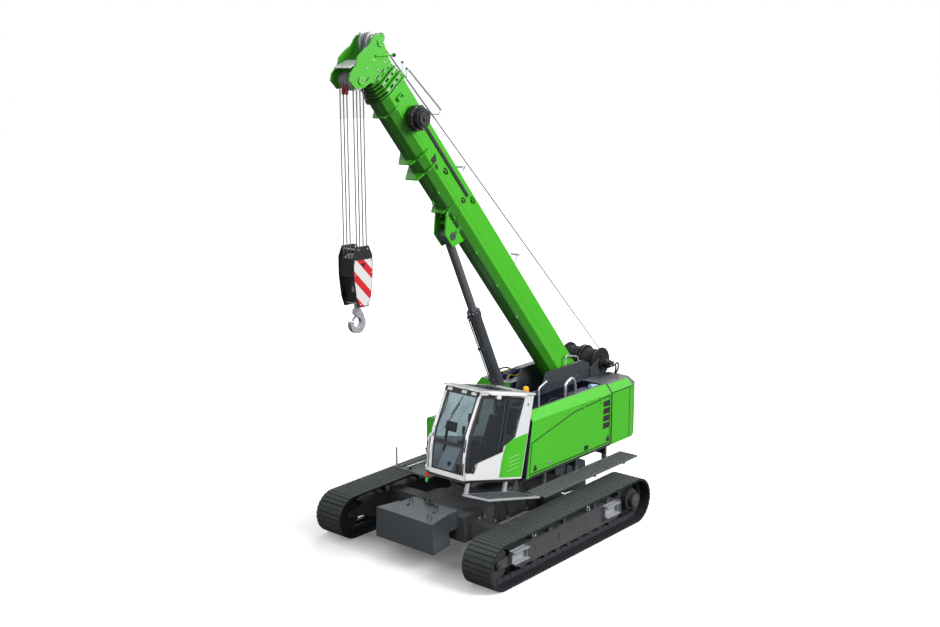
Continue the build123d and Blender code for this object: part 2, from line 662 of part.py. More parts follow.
def winch(span):
    """Rope drum with two flanges and its shaft."""
    drum = across(WINCH_X, WINCH_Z, span, DRUM_RADIUS)
    for face, inward in ((span[0], 22), (span[1], -22)):
        drum += across(WINCH_X, WINCH_Z, (face, face + inward), FLANGE_RADIUS)
    drum += across(WINCH_X, WINCH_Z, (span[0] - 20, span[1] + 20), WINCH_SHAFT)
    return drum


def winch_drives():
    """Round gear motors on the outer winch plates."""
    left = MAIN_DRUM[1] + FREE + WINCH_PLATE + SEAT
    right = AUX_DRUM[0] - FREE - WINCH_PLATE - SEAT
    motors = []
    for start, side, reach in ((left, 1, MOTOR_REACH[0]), (right, -1, MOTOR_REACH[1])):
        wide = start + side * MOTOR_LENGTH
        motors.append(across(WINCH_X, WINCH_Z, (start, wide), MOTOR_RADIUS)
                      + across(WINCH_X, WINCH_Z, (wide, start + side * reach), MOTOR_CAP))
    return group(*motors)


def bevel(shape, side, top, x):
    """Cuts the slope along the upper outer edge of a hood."""
    inner, outer = side * (SIDE - BEVEL_DEPTH), side * (SIDE + 60)
    edge = [(side * (SIDE + 1), top - BEVEL_HEIGHT), (inner, top), (inner, top + 50), (outer, top + 50),
            (outer, top - BEVEL_HEIGHT)]
    return shape - crosswise(edge, x)


def door_knuckles(along, pin_bar, plate):
    """A leaf's knuckle, bored for the pin. along is the span of the knuckle on its axis."""
    bore = pin_bar(along[0] - 1, along[1] + 1, HINGE_PIN + RUNNING)
    return pin_bar(*along, KNUCKLE_RADIUS) + plate(*along) - bore


def hood_knuckles(along, pin_bar, plate):
    """The hood's two knuckles beside a leaf's knuckle, with the pin between them."""
    start, end = along[0] - KNUCKLE_LENGTH, along[1] + KNUCKLE_LENGTH
    pin = pin_bar(start, end, HINGE_PIN)
    for low, high in ((start, along[0] - SEAT), (along[1] + SEAT, end)):
        pin += pin_bar(low, high, KNUCKLE_RADIUS) + plate(low, high)
    return pin


def left_pin_bar(low, high, radius):
    return bar((low, SIDE + HINGE_OUT, LEFT_HINGE_Z), (high, SIDE + HINGE_OUT, LEFT_HINGE_Z), radius)


def right_pin_bar(low, high, radius):
    return bar((RIGHT_HINGE_X, -SIDE - HINGE_OUT, low), (RIGHT_HINGE_X, -SIDE - HINGE_OUT, high), radius)


def left_leaf_plate(low, high):
    """Strap from the left door's face up over the hood's edge to the hinge."""
    foot = LEFT_HINGE_Z - STRAP_LENGTH
    strap = block((low, high), (SIDE + SEAT, SIDE + STRAP), (foot, LEFT_HINGE_Z))
    return strap + block((low, high), (SIDE - STRAP, SIDE + STRAP), (foot, LEFT_STRAP_SEAT))


def left_hood_plate(low, high):
    return block((low, high), (SIDE - STRAP, SIDE + STRAP), (LEFT_HINGE_Z - KNUCKLE_RADIUS, LEFT_HINGE_Z + 5))


def right_leaf_plate(low, high):
    reach = RIGHT_HINGE_X + STRAP_LENGTH / 2
    strap = block((RIGHT_HINGE_X, reach), (-SIDE - STRAP, -SIDE - SEAT), (low, high))
    return strap + block((RIGHT_HINGE_X + DOOR_GAP + 3, reach), (-SIDE - STRAP, -SIDE + STRAP), (low, high))


def right_hood_plate(low, high):
    rear, out = RIGHT_HINGE_X - 30, -SIDE - STRAP - 2
    foot = block((rear, RIGHT_HINGE_X - 5), (out, -SIDE + STRAP), (low, high))
    return foot + block((rear, RIGHT_HINGE_X), (out, -SIDE - SEAT), (low, high))


def hood(side, front_low, front_high, top, door):
    """Hollow hood over one side of the deck, with a door hole in its outer wall."""
    shell_view = [(front_low, PAN_TOP), (front_high, top), (HOOD_REAR, top), (HOOD_REAR, PAN_TOP)]
    inside_view = [(front_low - HOOD_WALL, PAN_TOP - 1), (front_high - HOOD_WALL, top - HOOD_WALL),
                   (HOOD_REAR + HOOD_WALL, top - HOOD_WALL), (HOOD_REAR + HOOD_WALL, PAN_TOP - 1)]
    span = (HOOD_REAR - 1, front_low + 1)
    shell = bevel(upright(shell_view, (side * HOOD_INNER, side * SIDE)), side, top, span)
    inside = upright(inside_view, (side * (HOOD_INNER + HOOD_WALL / 2), side * (SIDE - HOOD_WALL)))
    edge = [(side * (SIDE - HOOD_WALL + 1), top - BEVEL_HEIGHT - 20),
            (side * (SIDE - BEVEL_DEPTH - HOOD_WALL), top - HOOD_WALL + 1), (side * SIDE, top)]
    shell -= inside - crosswise(edge, span)
    opening = (side * (HOOD_INNER + INNER_STRIP), side * (SIDE - BEVEL_DEPTH - TOP_RIM))
    shell -= block((HOOD_REAR + TOP_RIM, front_high - 2 * TOP_RIM), opening, (top - HOOD_WALL - 20, top + 1))
    return shell - upright(door, (side * (SIDE - HOOD_WALL - 1), side * (SIDE + 1)))


def hood_door(side, outline):
    """Door leaf that fills a hood's hole with a gap all round."""
    face = offset(outline_face(outline), -DOOR_GAP, kind=Kind.INTERSECTION)
    return upright_plate(face, (side * (SIDE - HOOD_WALL), side * SIDE))


def spans(places):
    """The span of each leaf knuckle about its place."""
    return [(place - KNUCKLE_LENGTH / 2, place + KNUCKLE_LENGTH / 2) for place in places]


def left_hood():
    """Hood behind the cab, its door hung on two hinges at the top."""
    shell = hood(1, LEFT_HOOD_FRONT[0], LEFT_HOOD_FRONT[1], HOOD_TOP, LEFT_DOOR)
    for along in spans(LEFT_HINGES):
        shell += hood_knuckles(along, left_pin_bar, left_hood_plate)
    return shell


def left_hood_door():
    leaf = hood_door(1, LEFT_DOOR)
    for along in spans(LEFT_HINGES):
        leaf += door_knuckles(along, left_pin_bar, left_leaf_plate)
    return leaf


def right_hood():
    """Hood over the engine, its door hung on two hinges at the rear."""
    shell = hood(-1, RIGHT_HOOD_FRONT, RIGHT_HOOD_FRONT, RIGHT_HOOD_TOP, RIGHT_DOOR)
    for along in spans(RIGHT_HINGES):
        shell += hood_knuckles(along, right_pin_bar, right_hood_plate)
    return shell


def right_hood_door():
    leaf = hood_door(-1, RIGHT_DOOR)
    for along in spans(RIGHT_HINGES):
        leaf += door_knuckles(along, right_pin_bar, right_leaf_plate)
    return leaf


def fuel_tank():
    """Closed tank in front of the right hood, with rounded upper edges."""
    tank = block((RIGHT_HOOD_FRONT + SEAT, TANK_FRONT), (TANK_INSET - SIDE, -TANK_INNER), (PAN_TOP, TANK_TOP))
    edges = tank.edges().filter_by(Axis.X).sort_by(Axis.Z)[-2:]
    return fillet(edges, TANK_ROUND)


def engine():
    """The engine as one plain block."""
    rear = HOOD_REAR + HOOD_WALL + 50
    return block((rear, rear + ENGINE_SIZE[0]), (ENGINE_INNER - ENGINE_SIZE[1], ENGINE_INNER),
                 (PAN_TOP, PAN_TOP + ENGINE_SIZE[2]))


def oil_tank():
    """The oil tank under the left hood as one plain block."""
    rear = HOOD_REAR + HOOD_WALL + 90
    return block((rear, rear + OIL_TANK_SIZE[0]), (OIL_TANK_INNER, OIL_TANK_INNER + OIL_TANK_SIZE[1]),
                 (PAN_TOP, PAN_TOP + OIL_TANK_SIZE[2]))


def counterweight():
    """Tail of the machine, with cut corners and a well for the winches."""
    (back, inset), deep = TAIL_CUTS
    half = [(TAIL_FRONT, SIDE), (TAIL_CORNER, SIDE), (TAIL_CORNER - back, SIDE - inset),
            (TAIL_REAR, SIDE - deep)]
    tail = flat(half + [(x, -y) for x, y in reversed(half)], (TAIL_BOTTOM, TAIL_TOP))
    rim = tail.faces().sort_by(Axis.Z)[-1].edges().filter_by(lambda edge: edge.center().X < TAIL_FRONT - 1)
    tail = chamfer(rim, BEVEL_DEPTH)
    seat = DECK_HALF + SEAT
    tail -= block((DECK_REAR - SEAT, TAIL_FRONT + 1), (-seat, seat), (TAIL_BOTTOM - 1, TAIL_TOP + 1))
    tail -= block((TAIL_REAR - 1, TAIL_FRONT + 1), (-TAIL_WELL, TAIL_WELL), (WELL_TOP, TAIL_TOP + 1))
    return tail


def grating(x, y):
    """Open walkway panel: a frame with bars across."""
    low, high = WALK_TOP - WALK_DEPTH, WALK_TOP
    start, length = x[0] + WALK_EDGE, x[1] - x[0] - 2 * WALK_EDGE
    hole = block((start, start + length), (min(y) + WALK_EDGE, max(y) - WALK_EDGE), (low - 1, high + 1))
    panel = block(x, y, (low, high)) - hole
    count = int(length // WALK_PITCH)
    bar_span = (min(y) + WALK_EDGE - 5, max(y) - WALK_EDGE + 5)
    for i in range(1, count + 1):
        place = start + i * length / (count + 1)
        panel += block((place - WALK_BAR / 2, place + WALK_BAR / 2), bar_span, (low, high))
    return panel


def walkway(side, front, outer):
    """Walkway along one side, on three arms under the floor pan's ribs."""
    panel = grating((WALK_REAR, front), (side * WALK_INNER, side * outer))
    low, under = WALK_TOP - 2 * WALK_DEPTH, WALK_TOP - WALK_DEPTH + 1
    inner, end = WALK_ARM
    for x in RIB_PLACES:
        panel += block((x - RIB_HALF, x + RIB_HALF), (side * inner, side * (outer - 10)), (low, under))
        panel += block((x - RIB_HALF, x + RIB_HALF), (side * inner, side * end), (low, RIB_BOTTOM - SEAT))
    return panel


def right_walkway():
    """Right walkway, which runs on round the tank to a low deck beside the boom."""
    panel = walkway(-1, RIGHT_WALK_FRONT, RIGHT_WALK_OUTER)
    return panel + block((TANK_FRONT + 30, RIGHT_WALK_FRONT), (-DECK_HALF - SEAT, -WALK_INNER - 1),
                         (WALK_TOP - WALK_DEPTH, WALK_TOP))


def deck_rails():
    """Bent hand rail on the left hood and a post on the right walkway."""
    top = HOOD_TOP + SEAT
    y = SIDE - BEVEL_DEPTH - TOP_RIM / 2
    rail = bent_tube([(RAIL_X, y, top)] + [(x, y, z) for x, z in RAIL_RUN], RAIL_RADIUS, 90)
    x = RIGHT_WALK_FRONT - 20
    post = bar((x, POST_Y, WALK_TOP + SEAT), (x, POST_Y, POST_TOP), RAIL_RADIUS - 2)
    return group(rail, post)


def bent_tube(points, radius, bend):
    """Round tube along straight runs joined by bends."""
    path = FilletPolyline(*points, radius=bend)
    start = Plane(origin=path @ 0, z_dir=path % 0)
    return sweep(start * Circle(radius), path=path)


def beacon():
    """Round lamp on the left hood."""
    z = HOOD_TOP + SEAT
    x, y = BEACON_PLACE
    rim = z + BEACON_FOOT[1]
    foot = bar((x, y, z), (x, y, rim), BEACON_FOOT[0])
    return foot + bar((x, y, rim), (x, y, z + BEACON_LENS[1]), BEACON_LENS[0])


# Boom

def boom_section(grow):
    """Face of the boom's cross-section, grown or shrunk all round."""
    half = [(BOOM_HALF, BOOM_BACK), (BOOM_HALF, BOOM_SIDE)]
    half += [(wide * BOOM_HALF, BOOM_SIDE - deep * (BOOM_SIDE - BOOM_BELLY)) for wide, deep in BELLY_STEPS]
    face = outline_face(half + [(-y, v) for y, v in reversed(half)])
    return offset(face, grow, kind=Kind.INTERSECTION) if grow else face


def boom_length(face, s):
    """Carries a cross-section along the boom."""
    plane = Plane((min(s), 0, 0), x_dir=(0, 1, 0), z_dir=(1, 0, 0))
    return extrude(plane * face, abs(s[1] - s[0]))


def tube(grow, s):
    """Hollow length of boom."""
    return boom_length(boom_section(grow) - boom_section(grow - BOOM_WALL), s)


def collar(grow, s, rim=COLLAR_RIM):
    """Rim that stands out at a section's back and sides, and a little below."""
    outside = boom_length(boom_section(grow + rim), s)
    outside &= block(s, (-2 * BOOM_HALF, 2 * BOOM_HALF), (BOOM_BELLY - grow - COLLAR_BELLY, 2 * BOOM_BACK))
    return outside - boom_length(boom_section(grow - BOOM_WALL), s)


def saddle(s, low, ear):
    """Plate round the belly whose ears stand out at the sides."""
    half = [(BOOM_HALF + ear, v) for v in EAR_SPAN] + [(0.6 * BOOM_HALF, low)]
    plate = crosswise(half + [(-y, v) for y, v in reversed(half)], s)
    return plate - boom_length(boom_section(-BOOM_WALL / 2), s)


def boom_base():
    """Base section with its foot, mouth collar, saddles and the lugs of the luffing cylinder."""
    lug_end = EYE_HALF + 42
    pin_bore = across(0, 0, (-2 * BOOM_HALF, 2 * BOOM_HALF), PIVOT_PIN + RUNNING)
    base = tube(0, (BASE_START, BASE_END))
    for side in (-1, 1):
        base += upright(FOOT_VIEW, (side * (BOOM_HALF - FOOT_WALL), side * BOOM_HALF))
        base += across(0, 0, (side * (BOOM_HALF - FOOT_WALL), side * (BOOM_HALF + 30)), FOOT_RADIUS)
        base += upright(LUG_VIEW, (side * (lug_end - LUG_WALL), side * lug_end))
    base -= pin_bore
    inside, between = (BASE_START + 1, BASE_END + 1), BOOM_HALF - FOOT_WALL
    base -= boom_length(boom_section(-BOOM_WALL), inside) & block(
        inside, (-between, between), (2 * BOOM_BELLY, 2 * BOOM_BACK))
    base += boom_length(boom_section(0), (BASE_START, BASE_START + 20)) - pin_bore
    base += across(EYE_S, EYE_V, (-lug_end, lug_end), EYE_PIN)
    base += collar(0, (BASE_END - MOUTH_RING, BASE_END))
    for pad in pads(0, (BASE_END - PAD_LENGTH, BASE_END), False):
        base += pad
    for s, low, ear in SADDLES:
        base += saddle(s, low, ear)
    return base


def mouth(index):
    """Where a section ends at rest: 0 is the base, 1 to 3 the sections from the outside in."""
    return BASE_END + COLLAR_GAP + (index - 1) * COLLAR_PITCH + SECTION_COLLAR if index else BASE_END


def pads(index, s, outside):
    """Slide pads on a section: outside on its back and belly, or inside at its mouth."""
    depth = NEST - BOOM_WALL - SEAT
    # each pad is set 2 mm into the wall that carries it
    low, high = (-2, depth) if outside else (-BOOM_WALL - depth, 2 - BOOM_WALL)
    back, belly = BOOM_BACK - index * NEST, BOOM_BELLY + index * NEST
    made = [block(s, (y - PAD_HALF, y + PAD_HALF), (back + low, back + high))
            for y in (-PAD_OFFSET, PAD_OFFSET)]
    return made + [block(s, (-PAD_HALF, PAD_HALF), (belly - high, belly - low))]


def telescope(index):
    """One telescope section, 1 to 3 from the outside in, with its collar and slide pads."""
    grow = -index * NEST
    start = mouth(index) - SECTION_COLLAR
    rear = SECTION_START + 40 * index
    section = tube(grow, (rear, mouth(index)))
    for s in (start, mouth(index) - RIM_WIDTH):
        section += collar(grow, (s, s + RIM_WIDTH), SECTION_RIM)
    for pad in pads(index, (rear, rear + PAD_LENGTH), True):
        section += pad
    if index < 3:
        for pad in pads(index, (mouth(index) - PAD_LENGTH, mouth(index)), False):
            section += pad
    return section


def boom_head():
    """Head plates with the two sheave axles, on the last telescope section."""
    start = mouth(3)
    head = tube(-3 * NEST, (start, start + HEAD_STUB))
    for side in (-1, 1):
        head += upright([(start - 40, 290), (start - 40, -290)] + HEAD_OUTLINE,
                        (side * HEAD_INNER, side * (HEAD_INNER + HEAD_WALL)))
    inside = (-HEAD_INNER - 5, HEAD_INNER + 5)
    for s, v in HEAD_WEBS:
        head += block((start + s[0], start + s[1]), inside, v)
    for s, v in (UPPER_SHEAVE, LOWER_SHEAVE):
        head += across(s, v, (-HEAD_INNER - HEAD_WALL - 20, HEAD_INNER + HEAD_WALL + 20), SHEAVE_AXLE)
    return head


def sheave_set(x, z, radius, places, bore):
    """Grooved sheaves on one hub."""
    half, groove = SHEAVE_WIDTH / 2, radius - GROOVE_DEPTH
    flat_half = 0.6 * half
    rim = [(0, -half), (radius, -half), (groove, -flat_half), (groove, flat_half), (radius, half), (0, half)]
    profile = revolve(outline_face(rim), Axis.Y)
    pieces = across(x, z, (min(places), max(places)), 75)
    for y in places:
        pieces += Pos(x, y, z) * profile
    return pieces - across(x, z, (-400, 400), bore)


def spaced(count):
    """Places of a number of sheaves about the middle."""
    return [(i - (count - 1) / 2) * SHEAVE_PITCH for i in range(count)]


def cable_reel():
    """Faceted cover of the cable reel on the boom's left side, with the strip that leads down the boom."""
    s, v = REEL_CENTRE
    turns = [pi * i / 4 + 0.25 for i in range(8)]
    rim, cover = ([(s + reach * cos(turn), v + reach * sin(turn)) for turn in turns] for reach in REEL_RADII)
    back, middle, front = (BOOM_HALF + reach for reach in REEL_REACH)
    reel = upright(rim, (back, middle)) + upright(cover, (middle, front))
    reel += across(s, v, (BOOM_HALF + SEAT, back), 70)
    reel += block(STRIP_SPAN, (BOOM_HALF + SEAT, BOOM_HALF + 22), (150, 210))
    end = STRIP_SPAN[1]
    return reel + block((end - 60, end + 40), (BOOM_HALF + SEAT, BOOM_HALF + 90), (100, 200))


def rope_guides():
    """Bent tube frame over the boom's back and two low guides for the hoist rope."""
    low = BOOM_BACK + GUIDE_FOOT
    ends = (GUIDE_RUN[0][0], GUIDE_RUN[-1][0])
    run = [(ends[0], low)] + GUIDE_RUN + [(ends[1], low)]
    frame = bent_tube([(s, GUIDE_Y, v) for s, v in run], GUIDE_RADIUS, 60)
    for s in ends:
        frame += block((s - 30, s + 30), (GUIDE_Y - 30, GUIDE_Y + 30), (BOOM_BACK + SEAT, low + 4))
    guides = []
    for s, high in ROLLER_GUIDES:
        roller = bar((s + 60, -112, high), (s + 60, 112, high), 22)
        for y in (-70, 70):
            roller += bar((s, y, low), (s + 60, y * 1.6, high), 12)
            roller += block((s - 25, s + 25), (y - 25, y + 25), (BOOM_BACK + SEAT, low + 4))
        guides.append(roller)
    return group(frame, *guides)


# Luffing cylinder

def cylinder_ends():
    """The foot's and the rod eye's centres in the machine."""
    return (FOOT_X, 0, FOOT_Z), boom_point(EYE_S, EYE_V)


def along_cylinder(way):
    """A point on the cylinder's axis, a way up from its foot."""
    foot, eye = cylinder_ends()
    length = hypot(eye[0] - foot[0], eye[2] - foot[2])
    return (foot[0] + (eye[0] - foot[0]) * way / length, 0, foot[2] + (eye[2] - foot[2]) * way / length)


def cylinder_reach():
    """Distance between the foot and the rod eye at rest."""
    foot, eye = cylinder_ends()
    return hypot(eye[0] - foot[0], eye[2] - foot[2])


def luff_barrel():
    """Barrel with its foot eye and the gland at its mouth."""
    barrel = bar(along_cylinder(60), along_cylinder(BARREL_LENGTH), BARREL_RADIUS)
    barrel += bar(along_cylinder(BARREL_LENGTH - 130), along_cylinder(BARREL_LENGTH), BARREL_RADIUS + 18)
    barrel += across(FOOT_X, FOOT_Z, (-BARREL_RADIUS, BARREL_RADIUS), EYE_RADIUS + 20)
    return barrel - bar(along_cylinder(250), along_cylinder(BARREL_LENGTH + 1), ROD_RADIUS + RUNNING)


def luff_rod():
    """Rod with the eye that turns on the boom's lug pin."""
    reach = cylinder_reach()
    rod = bar(along_cylinder(reach - BARREL_LENGTH + 200), along_cylinder(reach - 60), ROD_RADIUS)
    eye = boom_point(EYE_S, EYE_V)
    rod += across(eye[0], eye[2], (-EYE_HALF, EYE_HALF), EYE_RADIUS)
    return rod - across(eye[0], eye[2], (-EYE_HALF - 1, EYE_HALF + 1), EYE_PIN + RUNNING)


# Hook block

def falls_places():
    """X and Y of each fall of the hoist rope: three in front of the sheaves and four behind."""
    centre = boom_point(*LOWER_SHEAVE)[0]
    reach = FALLS_RADIUS - GROOVE_DEPTH + ROPE_RADIUS + SEAT
    return [(centre + reach, y) for y in spaced(4)[:3]] + [(centre - reach, y) for y in spaced(4)]


def hoist_falls():
    """Straight falls of the hoist rope between head and block."""
    high = boom_point(*LOWER_SHEAVE)[2]
    return group(*[bar((x, y, BLOCK_SHEAVE_Z), (x, y, high), ROPE_RADIUS) for x, y in falls_places()])


def hook_block():
    """Cheek plates of the block with their axle and the cross head that carries the hook."""
    centre = boom_point(*LOWER_SHEAVE)[0]
    half = 2 * SHEAVE_PITCH
    outline = [(centre + x, z) for x, z in BLOCK_VIEW] + [(centre - x, z) for x, z in reversed(BLOCK_VIEW)]
    frame = across(centre, BLOCK_SHEAVE_Z, (-half - CHEEK_PLATE, half + CHEEK_PLATE), SHEAVE_AXLE)
    for side in (-1, 1):
        frame += upright(outline, (side * half, side * (half + CHEEK_PLATE)))
    head = block((centre - 110, centre + 110), (-half - 5, half + 5), HEAD_SPAN)
    bore = bar((centre, 0, HEAD_SPAN[0] - 80), (centre, 0, HEAD_SPAN[1] + 60), SHANK_RADIUS + 1)
    return frame + (head - bore)


def hook():
    """Hook with its shank through the cross head, and its nut on top."""
    centre = boom_point(*LOWER_SHEAVE)[0]
    seat = HEAD_SPAN[1] + SEAT
    shank = bar((centre, 0, NECK_VIEW[0][1] - 20), (centre, 0, seat), SHANK_RADIUS)
    shank += bar((centre, 0, seat), (centre, 0, NUT_TOP), NUT_RADIUS)
    middle = HOOK_BOTTOM + HOOK_RADIUS
    body = across(centre, middle, (-HOOK_THICKNESS / 2, HOOK_THICKNESS / 2), HOOK_RADIUS)
    x, z = centre + 12, middle + 18
    body -= across(x, z, (-HOOK_THICKNESS, HOOK_THICKNESS), HOOK_THROAT)
    mouth_view = [(x, z), (x, z + 282), (x + 288, z + 282), (x + 288, z + 72)]
    body -= upright(mouth_view, (-HOOK_THICKNESS, HOOK_THICKNESS))
    neck = [(centre + x, z) for x, z in NECK_VIEW]
    return shank + body + upright(neck, (-HOOK_THICKNESS / 2, HOOK_THICKNESS / 2))


# Cab

def cab_point(x, z):
    """The place in the machine of a point of the cab's side view."""
    turn = radians(CAB_TILT)
    return CAB_X + x * cos(turn) - z * sin(turn), CAB_Z + x * sin(turn) + z * cos(turn)


def cab_inner():
    return offset(outline_face(CAB_SIDE), -CAB_WALL, kind=Kind.INTERSECTION)


def cab_windows():
    """Solids that cut the windows: front in two, right, rear, roof and left rear."""
    low, high = CAB_RIGHT + 90, CAB_LEFT - 75
    return {
        "front_low": block((1600, 2000), (low, high), (110, 620)),
        "front_high": block((1500, 2000), (low, high), (665, 1600)),
        "right": upright(RIGHT_PANE, (CAB_RIGHT - 1, CAB_RIGHT + CAB_WALL + 1)),
        "rear": block((-1, CAB_WALL + 1), *REAR_WINDOW),
        "roof": block(*ROOF_WINDOW, (CAB_TOP - CAB_WALL - 1, CAB_TOP + 1)),
        "left": upright(REAR_PANE, (CAB_LEFT - CAB_WALL - 1, CAB_LEFT + 1)),
    }


def cab_frame():
    """Hollow white cab with its windows cut, roof edge, door rail and hinge knuckles."""
    shell = upright(CAB_SIDE, (CAB_RIGHT, CAB_LEFT))
    shell -= upright_plate(cab_inner(), (CAB_RIGHT + CAB_WALL, CAB_LEFT - CAB_WALL))
    for cut in cab_windows().values():
        shell -= cut
    shell -= upright(DOOR_HOLE, (CAB_LEFT - CAB_WALL - 1, CAB_LEFT + 1))
    shell += block((-10, 1735), (CAB_RIGHT - 15, CAB_LEFT + 30), (CAB_TOP, ROOF_TOP))
    shell -= block(*ROOF_WINDOW, (CAB_TOP - 1, ROOF_TOP + 1))
    shell += block((330, 1480), (CAB_LEFT, CAB_FACE + 45), (RAIL_BOTTOM, CAB_TOP))
    for y in (610, 1200):
        knuckle = block((TILT_PIN[0] - 32, TILT_PIN[0] + 32), (y, y + 60), (TILT_PIN[1], 1))
        knuckle += across(TILT_PIN[0], TILT_PIN[1], (y, y + 60), 32)
        shell += knuckle - across(TILT_PIN[0], TILT_PIN[1], (y - 1, y + 61), 20 + RUNNING)
    return cab_frame_place(shell)


def cab_glazing():
    """Fixed panes, each in its own window."""
    band = offset(outline_face(CAB_SIDE), -15, kind=Kind.INTERSECTION) - offset(
        outline_face(CAB_SIDE), -15 - PANE, kind=Kind.INTERSECTION)
    low, high = CAB_RIGHT + 90 + SEAT, CAB_LEFT - 75 - SEAT
    ring = upright_plate(band, (low, high))
    panes = [ring & block((1600, 2000), (low, high), (110 + SEAT, 620 - SEAT)),
             ring & block((1500, 2000), (low, high), (665 + SEAT, 1600 - SEAT)),
             block((20, 20 + PANE), *[(start + SEAT, end - SEAT) for start, end in REAR_WINDOW]),
             block(*[(start + SEAT, end - SEAT) for start, end in ROOF_WINDOW],
                   (CAB_TOP - 20, CAB_TOP - 20 + PANE))]
    right = offset(outline_face(RIGHT_PANE), -SEAT, kind=Kind.INTERSECTION)
    left = offset(outline_face(REAR_PANE), -SEAT, kind=Kind.INTERSECTION)
    panes.append(upright_plate(right, (CAB_RIGHT + 15, CAB_RIGHT + 15 + PANE)))
    panes.append(upright_plate(left, (CAB_LEFT - 10 - PANE, CAB_LEFT - 10)))
    return cab_frame_place(group(*panes))


def cab_door():
    """Sliding door leaf with its window cut and the two hangers that run under the rail."""
    leaf = upright(DOOR_LEAF, (CAB_LEFT + 5, CAB_FACE)) - upright(DOOR_PANE, (CAB_LEFT, CAB_FACE + 1))
    for x in (1120, 1420):
        leaf += block((x - 30, x + 30), (CAB_LEFT + 8, CAB_FACE - 3), (1640, RAIL_BOTTOM - SEAT))
    return cab_frame_place(leaf)


def door_glass():
    pane = offset(outline_face(DOOR_PANE), -SEAT, kind=Kind.INTERSECTION)
    return cab_frame_place(upright_plate(pane, (CAB_FACE - 14 - PANE, CAB_FACE - 14)))


def cab_rear_panel():
    """Outer panel behind the door, with its four louvres."""
    panel = upright(REAR_PANEL, (CAB_LEFT + SEAT, CAB_LEFT + 3))
    for i in range(LOUVRE_COUNT):
        z = LOUVRE_BOTTOM + i * LOUVRE_PITCH
        panel -= block((LOUVRE_SPAN[0], LOUVRE_SPAN[1]), (CAB_LEFT, CAB_LEFT + 4), (z, z + LOUVRE_HEIGHT))
    return cab_frame_place(panel)


def cab_step():
    """Step plate beside the cab, hung from its floor on two brackets."""
    low, high = -270, -235
    plan = [(1830, 1440), (1670, 1950), (40, 1950), (230, 1440)]
    plate = flat(plan, (low, high))
    for x in (450, 1630):
        plate += block((x - 30, x + 30), (1330, 1470), (low, low + 30))
        plate += block((x - 30, x + 30), (1330, 1390), (low, -SEAT))
    return cab_frame_place(plate)


def operator_seat():
    """Seat on its post: cushion, back rest and head rest."""
    seat = block((640, 1000), (800, 1110), (CAB_WALL + SEAT, 400))
    seat += block((560, 1080), (730, 1180), (400, 540))
    seat += upright([(520, 480), (640, 480), (480, 1180), (400, 1160)], (740, 1170))
    seat += upright([(400, 1190), (470, 1210), (440, 1370), (370, 1350)], (830, 1080))
    seat += upright([(410, 1150), (450, 1150), (440, 1230), (400, 1230)], (900, 1010))
    return cab_frame_place(seat)


def console():
    """Two arm consoles with levers and the monitor on its post."""
    floor = CAB_WALL + SEAT
    pieces = []
    for y in (570, 1200):
        box = block((600, 1150), (y, y + 120), (floor, 610))
        box += bar((1060, y + 60, 600), (1080, y + 60, 760), 14)
        box += bar((1080, y + 60, 760), (1092, y + 60, 850), 28)
        pieces.append(box)
    pieces.append(block((1560, 1600), (600, 640), (floor, 900)) + block((1530, 1560), (560, 820), (820, 1010)))
    return cab_frame_place(group(*pieces))


def nodes():
    """Every piece of the crane by name."""
    made = {
        "car_body": car_body(), "slewing_ring": slewing_ring(),
        "front_ballast": ballast(1), "rear_ballast": ballast(-1),
        "main_frame": main_frame(), "left_hood": left_hood(), "right_hood": right_hood(),
        "left_hood_door": left_hood_door(), "right_hood_door": right_hood_door(),
        "fuel_tank": fuel_tank(), "engine": engine(), "oil_tank": oil_tank(),
        "counterweight": counterweight(),
        "left_walkway": walkway(1, WALK_FRONT, WALK_OUTER), "right_walkway": right_walkway(),
        "deck_rails": deck_rails(), "beacon": beacon(), "winch_drives": winch_drives(),
        "main_winch": winch(MAIN_DRUM), "aux_winch": winch(AUX_DRUM),
        "cab_frame": cab_frame(), "cab_rear_panel": cab_rear_panel(), "cab_glazing": cab_glazing(),
        "cab_door": cab_door(), "door_glass": door_glass(), "cab_step": cab_step(),
        "operator_seat": operator_seat(), "console": console(),
        "boom_base": boom_frame(boom_base()), "cable_reel": boom_frame(cable_reel()),
        "rope_guides": boom_frame(rope_guides()),
        "tele_section_1": boom_frame(telescope(1)), "tele_section_2": boom_frame(telescope(2)),
        "tele_section_3": boom_frame(telescope(3) + boom_head()),
        "upper_sheaves": boom_frame(sheave_set(*UPPER_SHEAVE, SHEAVE_RADIUS, spaced(3), SHEAVE_AXLE + RUNNING)),
        "lower_sheaves": boom_frame(sheave_set(*LOWER_SHEAVE, FALLS_RADIUS, spaced(4), SHEAVE_AXLE + RUNNING)),
        "luff_barrel": luff_barrel(), "luff_rod": luff_rod(),
        "hoist_falls": hoist_falls(), "hook_block": hook_block(), "hook": hook(),
        "block_sheaves": sheave_set(boom_point(*LOWER_SHEAVE)[0], BLOCK_SHEAVE_Z, FALLS_RADIUS, spaced(4),
                                    SHEAVE_AXLE + RUNNING),
    }
    for name, side in (("left", 1), ("right", -1)):
        made[name + "_track"] = track(side)
        made[name + "_track_frame"] = track_frame(side)
        made[name + "_wheels"] = wheels(side)
        made[name + "_steps"] = step_irons(side)
    return made


def middle_x(shapes):
    """X of the middle of the overall box."""
    boxes = [shape.bounding_box() for shape in shapes]
    return (min(box.min.X for box in boxes) + max(box.max.X for box in boxes)) / 2


MODEL = nodes()
CENTRE_X = middle_x(MODEL.values())
os.makedirs("parts", exist_ok=True)
for name, shape in MODEL.items():
    export_step(Pos(-CENTRE_X, 0, 0) * shape, f"parts/{name}.step")
print(f"{len(MODEL)} pieces, moved by {-CENTRE_X:.2f} along X")
